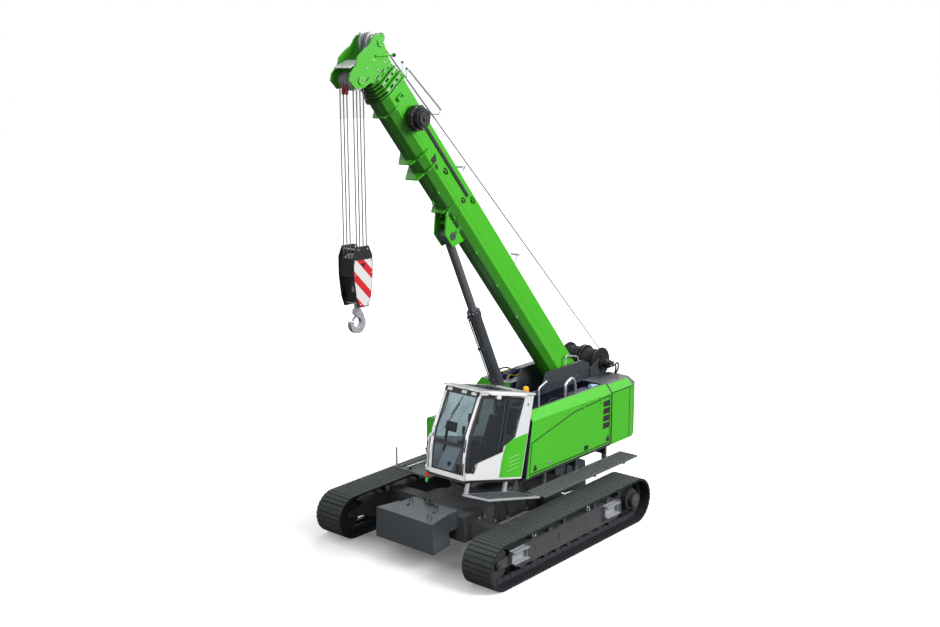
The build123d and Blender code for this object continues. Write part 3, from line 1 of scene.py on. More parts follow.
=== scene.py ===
# %% [markdown]
# A telescopic crawler crane, dressed for the camera. This file gives them their paint and adds
# what is too fine for them, such as bolts, ropes, hoses, seals and lamps. Lengths are in metres,
# +X is the front, +Y the left, +Z up.

# %% Frame
import json
import math

import bpy
import numpy as np
from mathutils import Euler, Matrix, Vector


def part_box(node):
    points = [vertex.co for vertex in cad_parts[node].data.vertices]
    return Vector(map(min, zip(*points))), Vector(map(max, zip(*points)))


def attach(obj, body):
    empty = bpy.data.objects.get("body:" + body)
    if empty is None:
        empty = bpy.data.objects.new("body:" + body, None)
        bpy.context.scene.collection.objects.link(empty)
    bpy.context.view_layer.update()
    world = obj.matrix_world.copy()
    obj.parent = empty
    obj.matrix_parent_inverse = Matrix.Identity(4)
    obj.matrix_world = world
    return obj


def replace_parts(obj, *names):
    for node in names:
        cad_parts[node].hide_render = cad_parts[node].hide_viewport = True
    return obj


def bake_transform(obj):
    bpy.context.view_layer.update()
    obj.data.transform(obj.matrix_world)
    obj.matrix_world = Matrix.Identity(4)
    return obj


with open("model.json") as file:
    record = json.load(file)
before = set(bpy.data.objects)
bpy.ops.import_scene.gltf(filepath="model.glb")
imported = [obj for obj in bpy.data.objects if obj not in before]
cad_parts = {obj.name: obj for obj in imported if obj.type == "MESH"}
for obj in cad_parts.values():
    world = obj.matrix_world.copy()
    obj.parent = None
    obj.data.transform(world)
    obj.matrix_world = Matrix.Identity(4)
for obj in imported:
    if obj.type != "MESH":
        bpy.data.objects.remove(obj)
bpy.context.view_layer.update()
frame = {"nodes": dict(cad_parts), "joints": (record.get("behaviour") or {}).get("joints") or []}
nodes = frame["nodes"]

# %% [markdown]
# Everything on the boom is easier to place in the boom's own directions: s runs from the pivot
# towards the head, v square to it towards the boom's back, and y stays the machine's. The pivot and
# the two directions are read from the frame's joints, so nothing is measured twice.

# %% Boom and cab coordinates
joints = {joint["name"]: joint for joint in frame["joints"]}
FORWARD, LEFTWARD, UPWARD = np.eye(3)
PIVOT = np.array(joints["boom_luff"]["pos_m"])
ALONG = np.array(joints["telescope_1"]["axis"])
BACK = np.array([-ALONG[2], 0.0, ALONG[0]])
SLEW_X = joints["slew"]["pos_m"][0]
CAB_FLOOR = np.array([SLEW_X + 0.6, 0.0, 1.546])
CAB_FORWARD = -np.array(joints["cab_door_slide"]["axis"])
CAB_UP = np.array([-CAB_FORWARD[2], 0.0, CAB_FORWARD[0]])
SIDES = ((1, "left"), (-1, "right"))


def framed(origin, first, second, a, b, y):
    """origin + a first + b second + y sideways, for single numbers or whole arrays of them."""
    a, b, y = np.broadcast_arrays(a, b, y)
    return origin + a[..., None] * first + b[..., None] * second + y[..., None] * LEFTWARD


def on_boom(s, v, y=0.0):
    """Place of a point of the boom: s along it from the pivot, v square to it."""
    return framed(PIVOT, ALONG, BACK, s, v, y)


def in_cab(x, z, y=0.0):
    """Place of a point of the tilted cab: x forward on its floor, z square to it."""
    return framed(CAB_FLOOR, CAB_FORWARD, CAB_UP, x, z, y)


def in_room(x, y, z):
    """The same place in the cab, with the coordinates in their usual order."""
    return in_cab(x, z, y)


def beside(x, z, y):
    """Place of a point of an upright plate, from the slewing axis."""
    return framed(SLEW_X * FORWARD, FORWARD, UPWARD, x, z, y)


def on_deck(x, y, z):
    """The same place, with the coordinates in their usual order."""
    return beside(x, z, y)


def spots(place, *points):
    """Places of several points."""
    return [place(*point) for point in points]


print("boom pivot", PIVOT.round(3), "cab floor", CAB_FLOOR.round(3))

# %% [markdown]
# Shader maths reads best as plain Python. A Value wraps one socket, and adding or multiplying two of
# them adds a Math node. The reflected forms make 1 - mask work as well as mask - 1. A Finish holds
# one material: its add method makes any other node from its type, its settings and its inputs.

# %% Shader arithmetic
class Value:
    """A socket that carries a number, with the operators of ordinary arithmetic."""

    def __init__(self, tree, socket):
        self.tree = tree
        self.socket = socket

    def maths(self, operation, *others):
        node = self.tree.nodes.new("ShaderNodeMath")
        node.operation = operation
        for slot, value in zip(node.inputs, (self, *others)):
            connect(self.tree, value, slot)
        return Value(self.tree, node.outputs[0])

    def __add__(self, other): return self.maths("ADD", other)
    def __sub__(self, other): return self.maths("SUBTRACT", other)
    def __rsub__(self, other): return self.maths("MULTIPLY_ADD", -1.0, other)
    def __mul__(self, other): return self.maths("MULTIPLY", other)
    def __truediv__(self, other): return self.maths("DIVIDE", other)
    def __gt__(self, other): return self.maths("GREATER_THAN", other)
    def __lt__(self, other): return self.maths("LESS_THAN", other)
    __radd__, __rmul__ = __add__, __mul__

    def clipped(self):
        return self.maths("MAXIMUM", 0.0).maths("MINIMUM", 1.0)


def connect(tree, value, slot):
    """Links a wrapped socket to an input, or sets the input to a number or to the three parts of a colour."""
    if isinstance(value, Value):
        tree.links.new(value.socket, slot)
    else:
        slot.default_value = (*value, 1.0) if slot.type == "RGBA" else value


class Finish:
    """One material, with its Principled shader and the place on the piece that patterns read."""

    def __init__(self, name, colour, roughness=0.5, metallic=0.0, coat=0.0):
        self.material = bpy.data.materials.new(name)
        self.material.use_nodes = True
        self.tree = self.material.node_tree
        self.shader = self.tree.nodes["Principled BSDF"]
        self.place = self.add("ShaderNodeTexCoord", out="Object")
        self.set("Base Color", colour)
        self.set("Roughness", roughness)
        self.set("Metallic", metallic)
        self.set("Coat Weight", coat)

    def add(self, kind, out=0, settings=None, **inputs):
        """A node of any type: settings are set first, then inputs by name with _ for a space."""
        node = self.tree.nodes.new(kind)
        for name, value in (settings or {}).items():
            setattr(node, name, value)
        for name, value in inputs.items():
            key = int(name[1:]) if name[1:].isdigit() else name.replace("_", " ")
            connect(self.tree, value, node.inputs[key])
        return Value(self.tree, node.outputs[out])

    def set(self, name, value):
        connect(self.tree, value, self.shader.inputs[name])

    def noise(self, scale, detail=4.0):
        return self.add("ShaderNodeTexNoise", "Fac", Vector=self.place, Scale=scale, Detail=detail, Roughness=0.6)

    def mix(self, share, first, second):
        """Colour between two: first where share is 0, second where it is 1."""
        return self.add("ShaderNodeMix", 2, {"data_type": "RGBA"}, i0=share, i6=first, i7=second)

    def parts(self, vector):
        """The x, y and z of a vector as three numbers."""
        node = self.tree.nodes.new("ShaderNodeSeparateXYZ")
        self.tree.links.new(vector.socket, node.inputs[0])
        return [Value(self.tree, output) for output in node.outputs]

    def bump(self, height, strength, distance, **normal):
        return self.add("ShaderNodeBump", "Normal", Height=height, Strength=strength, Distance=distance, **normal)


# %% [markdown]
# Real plates have small rounded edges that catch the light. The Bevel node turns the shading normal
# near an edge as a rounded edge would, and the angle between that normal and the true one tells how
# near the edge is, which is where a paler colour is painted as a highlight.

# %% Edges
DUST, DUST_TOP = (0.16, 0.15, 0.14), 2.2
NO_LIGHT, FULL_LIGHT = (0.0, 0.0, 0.0), (1.0, 1.0, 1.0)


def times(colour, factor):
    """A colour made brighter or darker."""
    return tuple(part * factor for part in colour)


def soft_edges(finish, radius):
    """Rounded shading normal, and a mask that is 1 on edges."""
    soft = finish.add("ShaderNodeBevel", "Normal", {"samples": 6}, Radius=radius)
    true = finish.add("ShaderNodeNewGeometry", "Normal")
    turn = finish.add("ShaderNodeVectorMath", "Value", {"operation": "DOT_PRODUCT"}, i0=soft, i1=true)
    return soft, ((1.0 - turn) * 9.0).clipped()


def dust_mask(finish):
    """Grows towards the ground: 1 at the floor and 0 at the dust's top, broken up by noise."""
    low = (1.0 - finish.parts(finish.place)[2] / DUST_TOP).clipped()
    return (low * (finish.noise(2.3) * 1.6)).clipped()


def paint(name, colour, edge, roughness=0.32, coat=0.5, dust_share=0.25, second=None):
    """Sprayed paint on steel: a paler edge colour painted on the edges as a highlight, patchy dust low down, fine
    orange peel.
    A second paint, where given, is a function that returns its colour and the share of it at each place."""
    finish = Finish(name, colour, roughness, coat=coat)
    soft, edges = soft_edges(finish, 0.007)
    base, rim = colour, edge
    if second:
        other, share = second(finish)
        base, rim = finish.mix(share, base, other), finish.mix(share, rim, times(other, 2.5))
    body = finish.mix(finish.noise(1.1, 5.0) * 0.063, base, NO_LIGHT)
    # Painted highlight: edges take the paler edge colour in place of light caught by a rounded edge.
    worn = finish.mix(edges * 0.6, body, rim)
    dusty = dust_mask(finish)
    finish.set("Base Color", finish.mix(dusty * dust_share, worn, DUST))
    finish.set("Roughness", finish.noise(7.0, 3.0) * 0.16 + dusty * 0.25 + (roughness - 0.08))
    finish.set("Normal", finish.bump(finish.noise(420.0, 2.0), 0.05, 0.0006, Normal=soft))
    return finish


# %% [markdown]
# The crane has few finishes: a bright green gloss on the upper works, a dark slate on the
# undercarriage and deck, white on the cab, black on lamps and winches, and bare or galvanised steel
# on sheaves, hook and handrails. Three of them change over a piece: the hoods get painted shade inside
# and a painted dark reflection on the tail's top, the cab door is black above, and the boom gets
# painted shade below.

# %% Paints
GREEN = (0.075, 0.55, 0.02)
SLATE = (0.04, 0.048, 0.056)
WHITE = (0.8, 0.81, 0.82)
BLACK = (0.012, 0.012, 0.014)
GREEN_COAT = {"edge": (0.13, 0.66, 0.07), "roughness": 0.34, "coat": 0.3, "dust_share": 0.1}
WHITE_EDGE = (0.92, 0.92, 0.92)

green_paint = paint("green_paint", GREEN, **GREEN_COAT)
slate_paint = paint("slate_paint", SLATE, (0.13, 0.145, 0.16), roughness=0.48, coat=0.1, dust_share=0.35)
white_paint = paint("white_paint", WHITE, WHITE_EDGE, roughness=0.3, coat=0.6, dust_share=0.08)
black_paint = paint("black_paint", BLACK, (0.05, 0.05, 0.055), roughness=0.42, coat=0.2, dust_share=0.2)
grey_paint = paint("pale_grey_paint", (0.42, 0.44, 0.47), (0.62, 0.64, 0.66), roughness=0.42, coat=0.1)


def own_normal(finish):
    """Three parts of a face's direction in its object's own axes, so that a mask stays put in every pose."""
    settings = {"vector_type": "NORMAL", "convert_from": "WORLD", "convert_to": "OBJECT"}
    true = finish.add("ShaderNodeNewGeometry", "Normal")
    return finish.parts(finish.add("ShaderNodeVectorTransform", "Vector", settings, Vector=true))


def way_along(x, z, origin, direction):
    """Way from an origin along a direction that has no y."""
    return (x - origin[0]) * direction[0] + (z - origin[2]) * direction[2]


def hood_painted_shade(finish):
    """Painted shade and reflection: dark blue on the inward, level, downward and end faces of the hoods inside their
    rims, where shade falls, and on the tail's top and rear slope as a painted dark reflection.
    """
    x, y = finish.parts(finish.place)[:2]
    across, sideways, upward = own_normal(finish)
    level = (y.maths("ABSOLUTE") < 1.277) * (upward > 0.5)
    inward = (y * sideways) < -0.3
    ends = (across > 0.5) * ((x < -2.0) + (x > 0.0) * (y > 0.5)) + (across < -0.5) * (x > -2.0)
    inner_wall = ((y * sideways) > 0.2) * (y.maths("ABSOLUTE") < 1.25)
    hood = (level + inward + inner_wall + ends + (upward < -0.5)) * (x > -2.53)
    tail = ((upward > 0.9) + (upward > 0.3) * (x < -3.36) + inward) * (x < -2.53)
    return (0.02, 0.021, 0.044), (hood + tail).clipped()


def door_black(finish):
    """The cab door is black above a line that falls to the front, and white below it."""
    x, z = finish.parts(finish.place)[::2]
    forward, up = way_along(x, z, CAB_FLOOR, CAB_FORWARD), way_along(x, z, CAB_FLOOR, CAB_UP)
    panel = (up < 0.54 - (forward - 0.87) * 0.288) * (forward < 1.6) + (up < 0.165)
    return BLACK, 1.0 - panel.clipped()


def belly_painted_shade(finish):
    """Painted shade: below the sides' lower edge the boom's paint is darkened where shade falls on the belly."""
    x, y, z = finish.parts(finish.place)
    way, rise = way_along(x, z, PIVOT, ALONG), way_along(x, z, PIVOT, BACK)
    low = (rise < -0.156) * 0.5 + (rise < -0.3) * 0.25
    return (0.01, 0.075, 0.005), low * (rise > -0.392) * (way < 9.03) * (y.maths("ABSOLUTE") < 0.262)


# boom_paint is dark green under the belly as painted shade.
boom_paint = paint("boom_paint", GREEN, **GREEN_COAT, second=belly_painted_shade)
# hood_paint is dark blue inside the hoods as painted shade and on the tail's top as a painted reflection.
hood_paint = paint("hood_paint", GREEN, **GREEN_COAT, second=hood_painted_shade)
door_paint = paint("door_paint", WHITE, WHITE_EDGE, roughness=0.3, coat=0.5, dust_share=0.08, second=door_black)
walk_steel = paint("walk_steel", (0.085, 0.098, 0.1), (0.3, 0.32, 0.33), roughness=0.5, coat=0.05, dust_share=0.2)
ballast_paint = paint("ballast_paint", (0.082, 0.1, 0.115), (0.16, 0.18, 0.2), roughness=0.5, coat=0.1,
                      dust_share=0.2)
rib_green = paint("rib_green", (0.19, 0.74, 0.1), (0.3, 0.82, 0.2), roughness=0.4, coat=0.2)
weight_red = paint("weight_red", (0.3, 0.008, 0.02), (0.4, 0.05, 0.06), roughness=0.4, coat=0.3)


def cast_steel(name, colour, worn, roughness):
    """Rough dark steel, rubbed bright in patches and on its edges."""
    finish = Finish(name, colour, roughness, metallic=0.55)
    soft, edges = soft_edges(finish, 0.005)
    rubbed = ((finish.noise(9.0, 6.0) - 0.46) * 4.0).clipped()
    finish.set("Base Color", finish.mix((rubbed * 0.3 + edges * 0.5).clipped(), colour, worn))
    finish.set("Roughness", roughness + finish.noise(24.0) * 0.25 - rubbed * 0.15)
    finish.set("Normal", finish.bump(finish.noise(140.0, 3.0), 0.18, 0.002, Normal=soft))
    return finish


def bright_steel(name, colour, roughness, metallic):
    """Turned or galvanised steel with a faint spangle."""
    finish = Finish(name, colour, roughness, metallic=metallic)
    spangle = finish.add("ShaderNodeTexVoronoi", "Distance", Vector=finish.place, Scale=60.0)
    finish.set("Base Color", finish.mix(spangle * 0.5, colour, times(colour, 0.7)))
    finish.set("Roughness", roughness + spangle * 0.18)
    finish.set("Normal", soft_edges(finish, 0.003)[0])
    return finish


track_steel = cast_steel("track_steel", (0.055, 0.06, 0.066), (0.17, 0.175, 0.18), 0.52)
shoe_steel = cast_steel("shoe_steel", (0.024, 0.028, 0.032), (0.08, 0.09, 0.1), 0.55)
ridge_steel = paint("ridge_steel", (0.056, 0.065, 0.068), (0.15, 0.16, 0.165), roughness=0.66, coat=0.0,
                    dust_share=0.12)
sheave_steel = bright_steel("sheave_steel", (0.8, 0.81, 0.84), 0.3, 0.2)
rod_steel = paint("rod_steel", (0.115, 0.125, 0.14), (0.2, 0.21, 0.22), roughness=0.3, coat=0.3)
forged_steel = cast_steel("forged_steel", (0.55, 0.57, 0.61), (0.8, 0.82, 0.84), 0.26)
rail_steel = bright_steel("rail_steel", (0.6, 0.62, 0.65), 0.34, 0.85)


# %% Plastics, rubber and fabric
def moulded(name, colour, roughness, grain=0.15):
    """Moulded plastic or rubber with a fine leathery grain."""
    finish = Finish(name, colour, roughness)
    cells = finish.add("ShaderNodeTexVoronoi", "Distance", Vector=finish.place, Scale=260.0)
    finish.set("Base Color", finish.mix(finish.noise(5.0) * 0.4, colour, times(colour, 1.5)))
    finish.set("Roughness", roughness + finish.noise(12.0) * 0.15)
    finish.set("Normal", finish.bump(cells, grain, 0.001))
    return finish


def woven(name, colour):
    """Seat cloth: two crossed sets of threads."""
    finish = Finish(name, colour, 0.85)
    x, y = finish.parts(finish.place)[:2]
    threads = (x * 900.0).maths("SINE") * (y * 900.0).maths("SINE")
    finish.set("Base Color", finish.mix((threads * 0.5 + 0.5) * 0.6, colour, times(colour, 2.2)))
    finish.set("Normal", finish.bump(threads, 0.3, 0.001))
    return finish


def tinted_glass(name, tint, share):
    """Thin pane: see-through, darker at the sides than in the windscreen, with a pale glowing patch, a painted
    reflection, on the right half of its side panes.
    """
    finish = Finish(name, tint, 0.03)
    clear = finish.add("ShaderNodeBsdfTransparent", "BSDF", Color=(0.84, 0.89, 0.91))
    facing = own_normal(finish)[0].maths("ABSOLUTE")
    # Painted reflection: a pale, glowing patch on the right half of the side panes.
    painted_glare = (facing < 0.5) * (finish.parts(finish.place)[1] < 0.56)
    glow = painted_glare * (finish.noise(2.0, 2.0) * 0.8 + 0.3)
    finish.set("Base Color", finish.mix(painted_glare, tint, (0.6, 0.7, 0.74)))
    finish.set("Emission Color", finish.mix(glow, NO_LIGHT, (0.52, 0.58, 0.58)))
    finish.set("Emission Strength", 1.0)
    smear = (finish.noise(3.0, 3.0) * 0.2 + share * (1.0 - (facing > 0.5) * 0.85) + painted_glare * 0.22).clipped()
    mixed = finish.add("ShaderNodeMixShader", 0, i0=smear, i1=clear,
                       i2=Value(finish.tree, finish.shader.outputs["BSDF"]))
    connect(finish.tree, mixed, finish.tree.nodes["Material Output"].inputs["Surface"])
    return finish


def lens(name, colour, glow=0.0):
    """Coloured lamp glass with fine ribs."""
    finish = Finish(name, colour, 0.25, coat=0.2)
    ribs = (finish.parts(finish.place)[2] * 500.0).maths("SINE")
    finish.set("Normal", finish.bump(ribs, 0.25, 0.002))
    finish.set("Base Color", finish.mix(ribs * 0.2 + 0.2, colour, times(colour, 0.6)))
    if glow:
        finish.set("Emission Color", colour)
        finish.set("Emission Strength", glow)
    return finish


black_plastic = moulded("black_plastic", (0.014, 0.014, 0.016), 0.48)
rubber = moulded("rubber_hose", (0.016, 0.016, 0.017), 0.62, 0.25)
seat_cloth = woven("seat_cloth", (0.05, 0.052, 0.058))
cab_glass = tinted_glass("cab_glass", (0.03, 0.035, 0.04), 0.42)
amber_lens = lens("amber_lens", (0.95, 0.46, 0.0), 0.3)
red_lens = lens("red_lens", (0.55, 0.01, 0.01))
green_lens = lens("green_lens", (0.03, 0.42, 0.05))
clear_lens = lens("clear_lens", (0.72, 0.75, 0.78))


def rope(name, dark, bright):
    """Wire rope: strands that wind round it, from the length and turn in its UV map."""
    finish = Finish(name, (bright, bright, bright), 0.5, metallic=0.4)
    along, turn = finish.parts(finish.add("ShaderNodeTexCoord", "UV"))[:2]
    strand = ((along * 90.0 + turn * 6.0) * (2.0 * math.pi)).maths("SINE")
    finish.set("Base Color", finish.mix(strand * 0.5 + 0.5, (dark, dark, dark), (bright, bright, bright)))
    finish.set("Normal", finish.bump(strand, 0.8, 0.002))
    return finish


rope_steel = rope("rope_steel", 0.06, 0.3)
dark_rope = rope("greased_rope", 0.008, 0.05)
print("finishes:", len(bpy.data.materials))

# %% [markdown]
# The frame's own nodes keep their meshes and take these finishes. Nodes that share a finish are
# listed once, and the nodes that the list leaves without a finish are printed.

# %% Dress the frame
WEARS = {
    hood_paint: ["left_hood", "right_hood", "left_hood_door", "right_hood_door", "counterweight", "fuel_tank"],
    door_paint: ["cab_door"],
    walk_steel: ["left_walkway", "right_walkway"],
    ballast_paint: ["front_ballast", "rear_ballast"],
    green_paint: ["cab_rear_panel"],
    boom_paint: ["boom_base", "tele_section_1", "tele_section_2", "tele_section_3"],
    slate_paint: ["car_body", "left_track_frame", "right_track_frame",
                  "main_frame", "luff_barrel", "slewing_ring", "engine", "oil_tank"],
    track_steel: ["left_track", "right_track", "left_wheels", "right_wheels"],
    grey_paint: ["left_steps", "right_steps", "cab_step"],
    white_paint: ["cab_frame"],
    cab_glass: ["cab_glazing", "door_glass"],
    black_paint: ["hook_block", "winch_drives", "main_winch", "aux_winch"],
    black_plastic: ["cable_reel", "console"],
    sheave_steel: ["upper_sheaves", "lower_sheaves", "block_sheaves"],
    rod_steel: ["luff_rod"],
    forged_steel: ["hook"],
    rope_steel: ["hoist_falls"],
    rail_steel: ["deck_rails", "rope_guides"],
    amber_lens: ["beacon"],
    seat_cloth: ["operator_seat"],
}


def dress(node, finish):
    """Gives a node of the frame one finish in every material slot."""
    mesh = nodes[node].data
    if not mesh.materials:
        mesh.materials.append(finish.material)
    for index in range(len(mesh.materials)):
        mesh.materials[index] = finish.material


for finish, names in WEARS.items():
    for node in names:
        dress(node, finish)
bare = sorted(set(nodes) - {node for names in WEARS.values() for node in names})
print("nodes without a finish:", bare)

# %% [markdown]
# Everything that is added below is a closed surface, and most are of one of three kinds: a plate
# with an outline, a turned piece, or a tube along a path. Each function works on whole arrays of
# points, so a hundred bolts cost one line, and returns points with the faces between them.

# %% Surfaces
def ring_quads(rows, columns):
    """Quads between rings of points: each joins a point to the next on its ring and on the ring above."""
    ring = np.arange(rows - 1)[:, None] * columns
    here = np.arange(columns)[None, :]
    after = (here + 1) % columns
    return np.stack([ring + here, ring + after, ring + columns + after, ring + columns + here], -1).reshape(-1, 4)


def capped(count, columns):
    """Faces of rings of points closed by a flat cap at each end."""
    last = count - columns
    caps = [list(range(columns))[::-1], list(range(last, count))]
    return ring_quads(count // columns, columns).tolist() + caps


def outward(points, faces):
    """Turns all faces round where the volume, the sum of a . (b x c) / 6 over their fans, is negative."""
    fans = np.array([(face[0], face[i], face[i + 1]) for face in faces for i in range(1, len(face) - 1)])
    a, b, c = (points[fans[:, corner]] - points.mean(0) for corner in range(3))
    volume = np.einsum("ij,ij->", a, np.cross(b, c))
    return points, (faces if volume > 0 else [face[::-1] for face in faces])


def turns(count, start=0.0):
    """Angles of evenly spaced points round a circle."""
    return start + np.linspace(0.0, 2 * np.pi, count, endpoint=False)


def circle(place, a, b, radius, count, level, start=0.0):
    """Evenly spaced points round (a, b) in the first two coordinates of a place."""
    turn = turns(count, start)
    return place(a + radius * np.cos(turn), b + radius * np.sin(turn), level)


def around(middle, half):
    """Span of a coordinate on both sides of a middle."""
    return middle - half, middle + half


def apart(side, low, high):
    """Span of y between two distances from the middle, on one side of the machine."""
    return sorted((side * low, side * high))


def plate(outline, span, place):
    """An outline in the first two coordinates of a place, carried through a span of the third."""
    first, second = np.array(outline, float).T
    points = np.vstack([place(first, second, level) for level in span])
    return outward(points, capped(len(points), len(first)))


def slab(place, first, second, third):
    """A plain block between two values of each coordinate of a place."""
    return plate([(first[0], second[0]), (first[1], second[0]), (first[1], second[1]), (first[0], second[1])],
                 third, place)


def rounded(first, second, radius, steps=4):
    """Outline of a rectangle with round corners, each a quarter circle of a few points."""
    turn = np.linspace(0.0, np.pi / 2, steps)
    corners = [(first[1], second[1]), (first[0], second[1]), (first[0], second[0]), (first[1], second[0])]
    outline = []
    for quarter, (a, b) in enumerate(corners):
        way = turn + quarter * np.pi / 2
        middle = (a - radius * np.sign(np.cos(way[1])), b - radius * np.sign(np.sin(way[1])))
        outline += list(zip(middle[0] + radius * np.cos(way), middle[1] + radius * np.sin(way)))
    return outline


def turned(profile, centre, axis, sides=20):
    """Each (radius, height) of a profile goes round an axis: p = centre + h axis + r (cos, sin)."""
    axis = np.array(axis, float) / np.linalg.norm(axis)
    first = np.cross(axis, np.eye(3)[np.argmin(np.abs(axis))])
    first /= np.linalg.norm(first)
    turn = turns(sides)
    rim = np.outer(np.cos(turn), first) + np.outer(np.sin(turn), np.cross(axis, first))
    radius, height = np.array(profile, float).T
    points = np.asarray(centre) + height[:, None, None] * axis + radius[:, None, None] * rim
    return points.reshape(-1, 3), capped(len(radius) * sides, sides)


def drum(centre, axis, radius, length, rim=0.0, sides=20):
    """A turned cylinder with its ends rounded off by a small rim."""
    profile = [(radius - rim, 0.0), (radius, rim), (radius, length - rim), (radius - rim, length)]
    return turned(profile if rim else [(radius, 0.0), (radius, length)], centre, axis, sides)


def tube(path, radius, sides=10):
    """A circle along a path. Its ring stands on two directions square to the path's unit tangent."""
    path = np.asarray(path, float)
    tangent = np.gradient(path, axis=0)
    tangent /= np.linalg.norm(tangent, axis=1, keepdims=True)
    first = np.cross(np.eye(3)[np.argmin(np.abs(tangent).max(0))], tangent)
    first /= np.linalg.norm(first, axis=1, keepdims=True)
    turn = turns(sides)
    turn = turn[None, :, None]
    rim = np.cos(turn) * first[:, None] + np.sin(turn) * np.cross(tangent, first)[:, None]
    points = path[:, None] + radius * rim
    return points.reshape(-1, 3), capped(len(path) * sides, sides)


def curve(points, count=32):
    """Smooth path through a few points (Catmull-Rom): at a point its slope is half the step between neighbours."""
    knots = np.asarray(points, float)
    knots = np.vstack([2 * knots[0] - knots[1], knots, 2 * knots[-1] - knots[-2]])
    way = np.linspace(0.0, len(points) - 1.0, count)
    first = np.minimum(way.astype(int), len(points) - 2)
    t = (way - first)[:, None]
    a, b, c, d = (knots[first + step] for step in range(4))
    return 0.5 * (2 * b + (c - a) * t + (2 * a - 5 * b + 4 * c - d) * t**2 + (3 * b - a - 3 * c + d) * t**3)


def bent(points, radius, steps=6):
    """Straight runs joined by bends: a quadratic curve starts a radius before each corner and ends one after."""
    points = [np.asarray(point, float) for point in points]
    path = [points[0]]
    t = np.linspace(0.0, 1.0, steps)[:, None]
    for before, corner, after in zip(points, points[1:], points[2:]):
        start = corner + radius * (before - corner) / np.linalg.norm(before - corner)
        end = corner + radius * (after - corner) / np.linalg.norm(after - corner)
        path.extend((1 - t)**2 * start + 2 * t * (1 - t) * corner + t**2 * end)
    return np.array(path + [points[-1]])


def repeated(faces, step, count):
    """Faces of many copies of a surface, whose corners are counted on by a step."""
    return [[corner + index * step for corner in face] for index in range(count) for face in faces]


def bolts(places, axis, radius, height):
    """Hexagon heads with a chamfered top, on a washer, at one place or many."""
    profile = [(radius * 1.25, 0.0), (radius * 1.25, 0.003), (radius, 0.003), (radius, height * 0.8),
               (radius * 0.8, height)]
    points, faces = turned(profile, (0.0, 0.0, 0.0), axis, 6)
    moved = np.asarray(places, float).reshape(-1, 1, 3) + points[None]
    return moved.reshape(-1, 3), repeated(faces, len(points), len(moved))


def linked(name, data):
    """An object for a mesh, lamp or camera, linked to the scene."""
    made = bpy.data.objects.new(name, data)
    bpy.context.scene.collection.objects.link(made)
    return made


def new_mesh(name, points, faces, sharp_angle, finishes):
    """A smooth mesh in which edges over an angle in degrees stay sharp."""
    mesh = bpy.data.meshes.new(name)
    mesh.from_pydata(points.tolist(), [], faces)
    for finish in finishes:
        mesh.materials.append(finish.material)
    mesh.polygons.foreach_set("use_smooth", np.ones(len(faces), bool))
    mesh.set_sharp_from_angle(angle=math.radians(sharp_angle))
    return mesh


class Piece:
    """Gathers surfaces with their finishes and makes one mesh of them, which rides on a body."""

    def __init__(self, name):
        self.name = name
        self.surfaces = []

    def add(self, surface, finish):
        self.surfaces.append((surface, finish))
        return self

    def make(self):
        """One mesh: corners are counted on from surface to surface, and each finish has one slot."""
        surfaces, worn = zip(*self.surfaces)
        finishes = list(dict.fromkeys(worn))
        starts = np.cumsum([0] + [len(points) for points, faces in surfaces]).tolist()
        points = np.vstack([points for points, faces in surfaces])
        faces = [[corner + start for corner in face]
                 for start, (own, own_faces) in zip(starts, surfaces) for face in own_faces]
        mesh = new_mesh(self.name, points, faces, 32.0, finishes)
        counts = [len(own_faces) for own, own_faces in surfaces]
        slots = np.repeat([finishes.index(finish) for finish in worn], counts)
        mesh.polygons.foreach_set("material_index", slots.astype(np.int32))
        mesh.update()
        print(f"{self.name}: {len(points)} points, {sum(len(face) - 2 for face in faces)} triangles")
        return linked(self.name, mesh)

    def ride(self, body, *stands_for):
        """Makes the piece, lets it ride on a body, and hides the nodes that it stands for."""
        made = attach(self.make(), body)
        if stands_for:
            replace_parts(made, *stands_for)
        return made


# %% [markdown]
# A track is one loop of steel shoes bolted to two rails of links. A shoe is a rolled plate with two
# broad, low pads across it. Its cross-section is drawn once, as shares of a shoe's pitch and heights
# over the plate, and one function bends any such drawing round the loop: straight below, round the
# idler, straight along the top, and round the sprocket.

# %% Track loop
TRACK_LENGTH, REAR_RADIUS, FRONT_RADIUS = 5.45, 0.489, 0.457
GROUSER, SHOE_COUNT, SHOE_WIDTH = 0.018, 58, 0.7
REAR_X, FRONT_X = REAR_RADIUS - TRACK_LENGTH / 2, TRACK_LENGTH / 2 - FRONT_RADIUS
RUN = FRONT_X - REAR_X
REAR_BEND, FRONT_BEND = REAR_RADIUS - GROUSER, FRONT_RADIUS - GROUSER
TOP_TURN = math.pi / 2 + 2 * math.atan2(FRONT_RADIUS - REAR_RADIUS, RUN)
FRONT_ARC = FRONT_BEND * (TOP_TURN + math.pi / 2)
LOOP = 2 * RUN + FRONT_ARC + REAR_BEND * (1.5 * math.pi - TOP_TURN)
PITCH = LOOP / SHOE_COUNT
TRACK_MIDDLE = (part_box("left_track")[0][1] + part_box("left_track")[1][1]) / 2


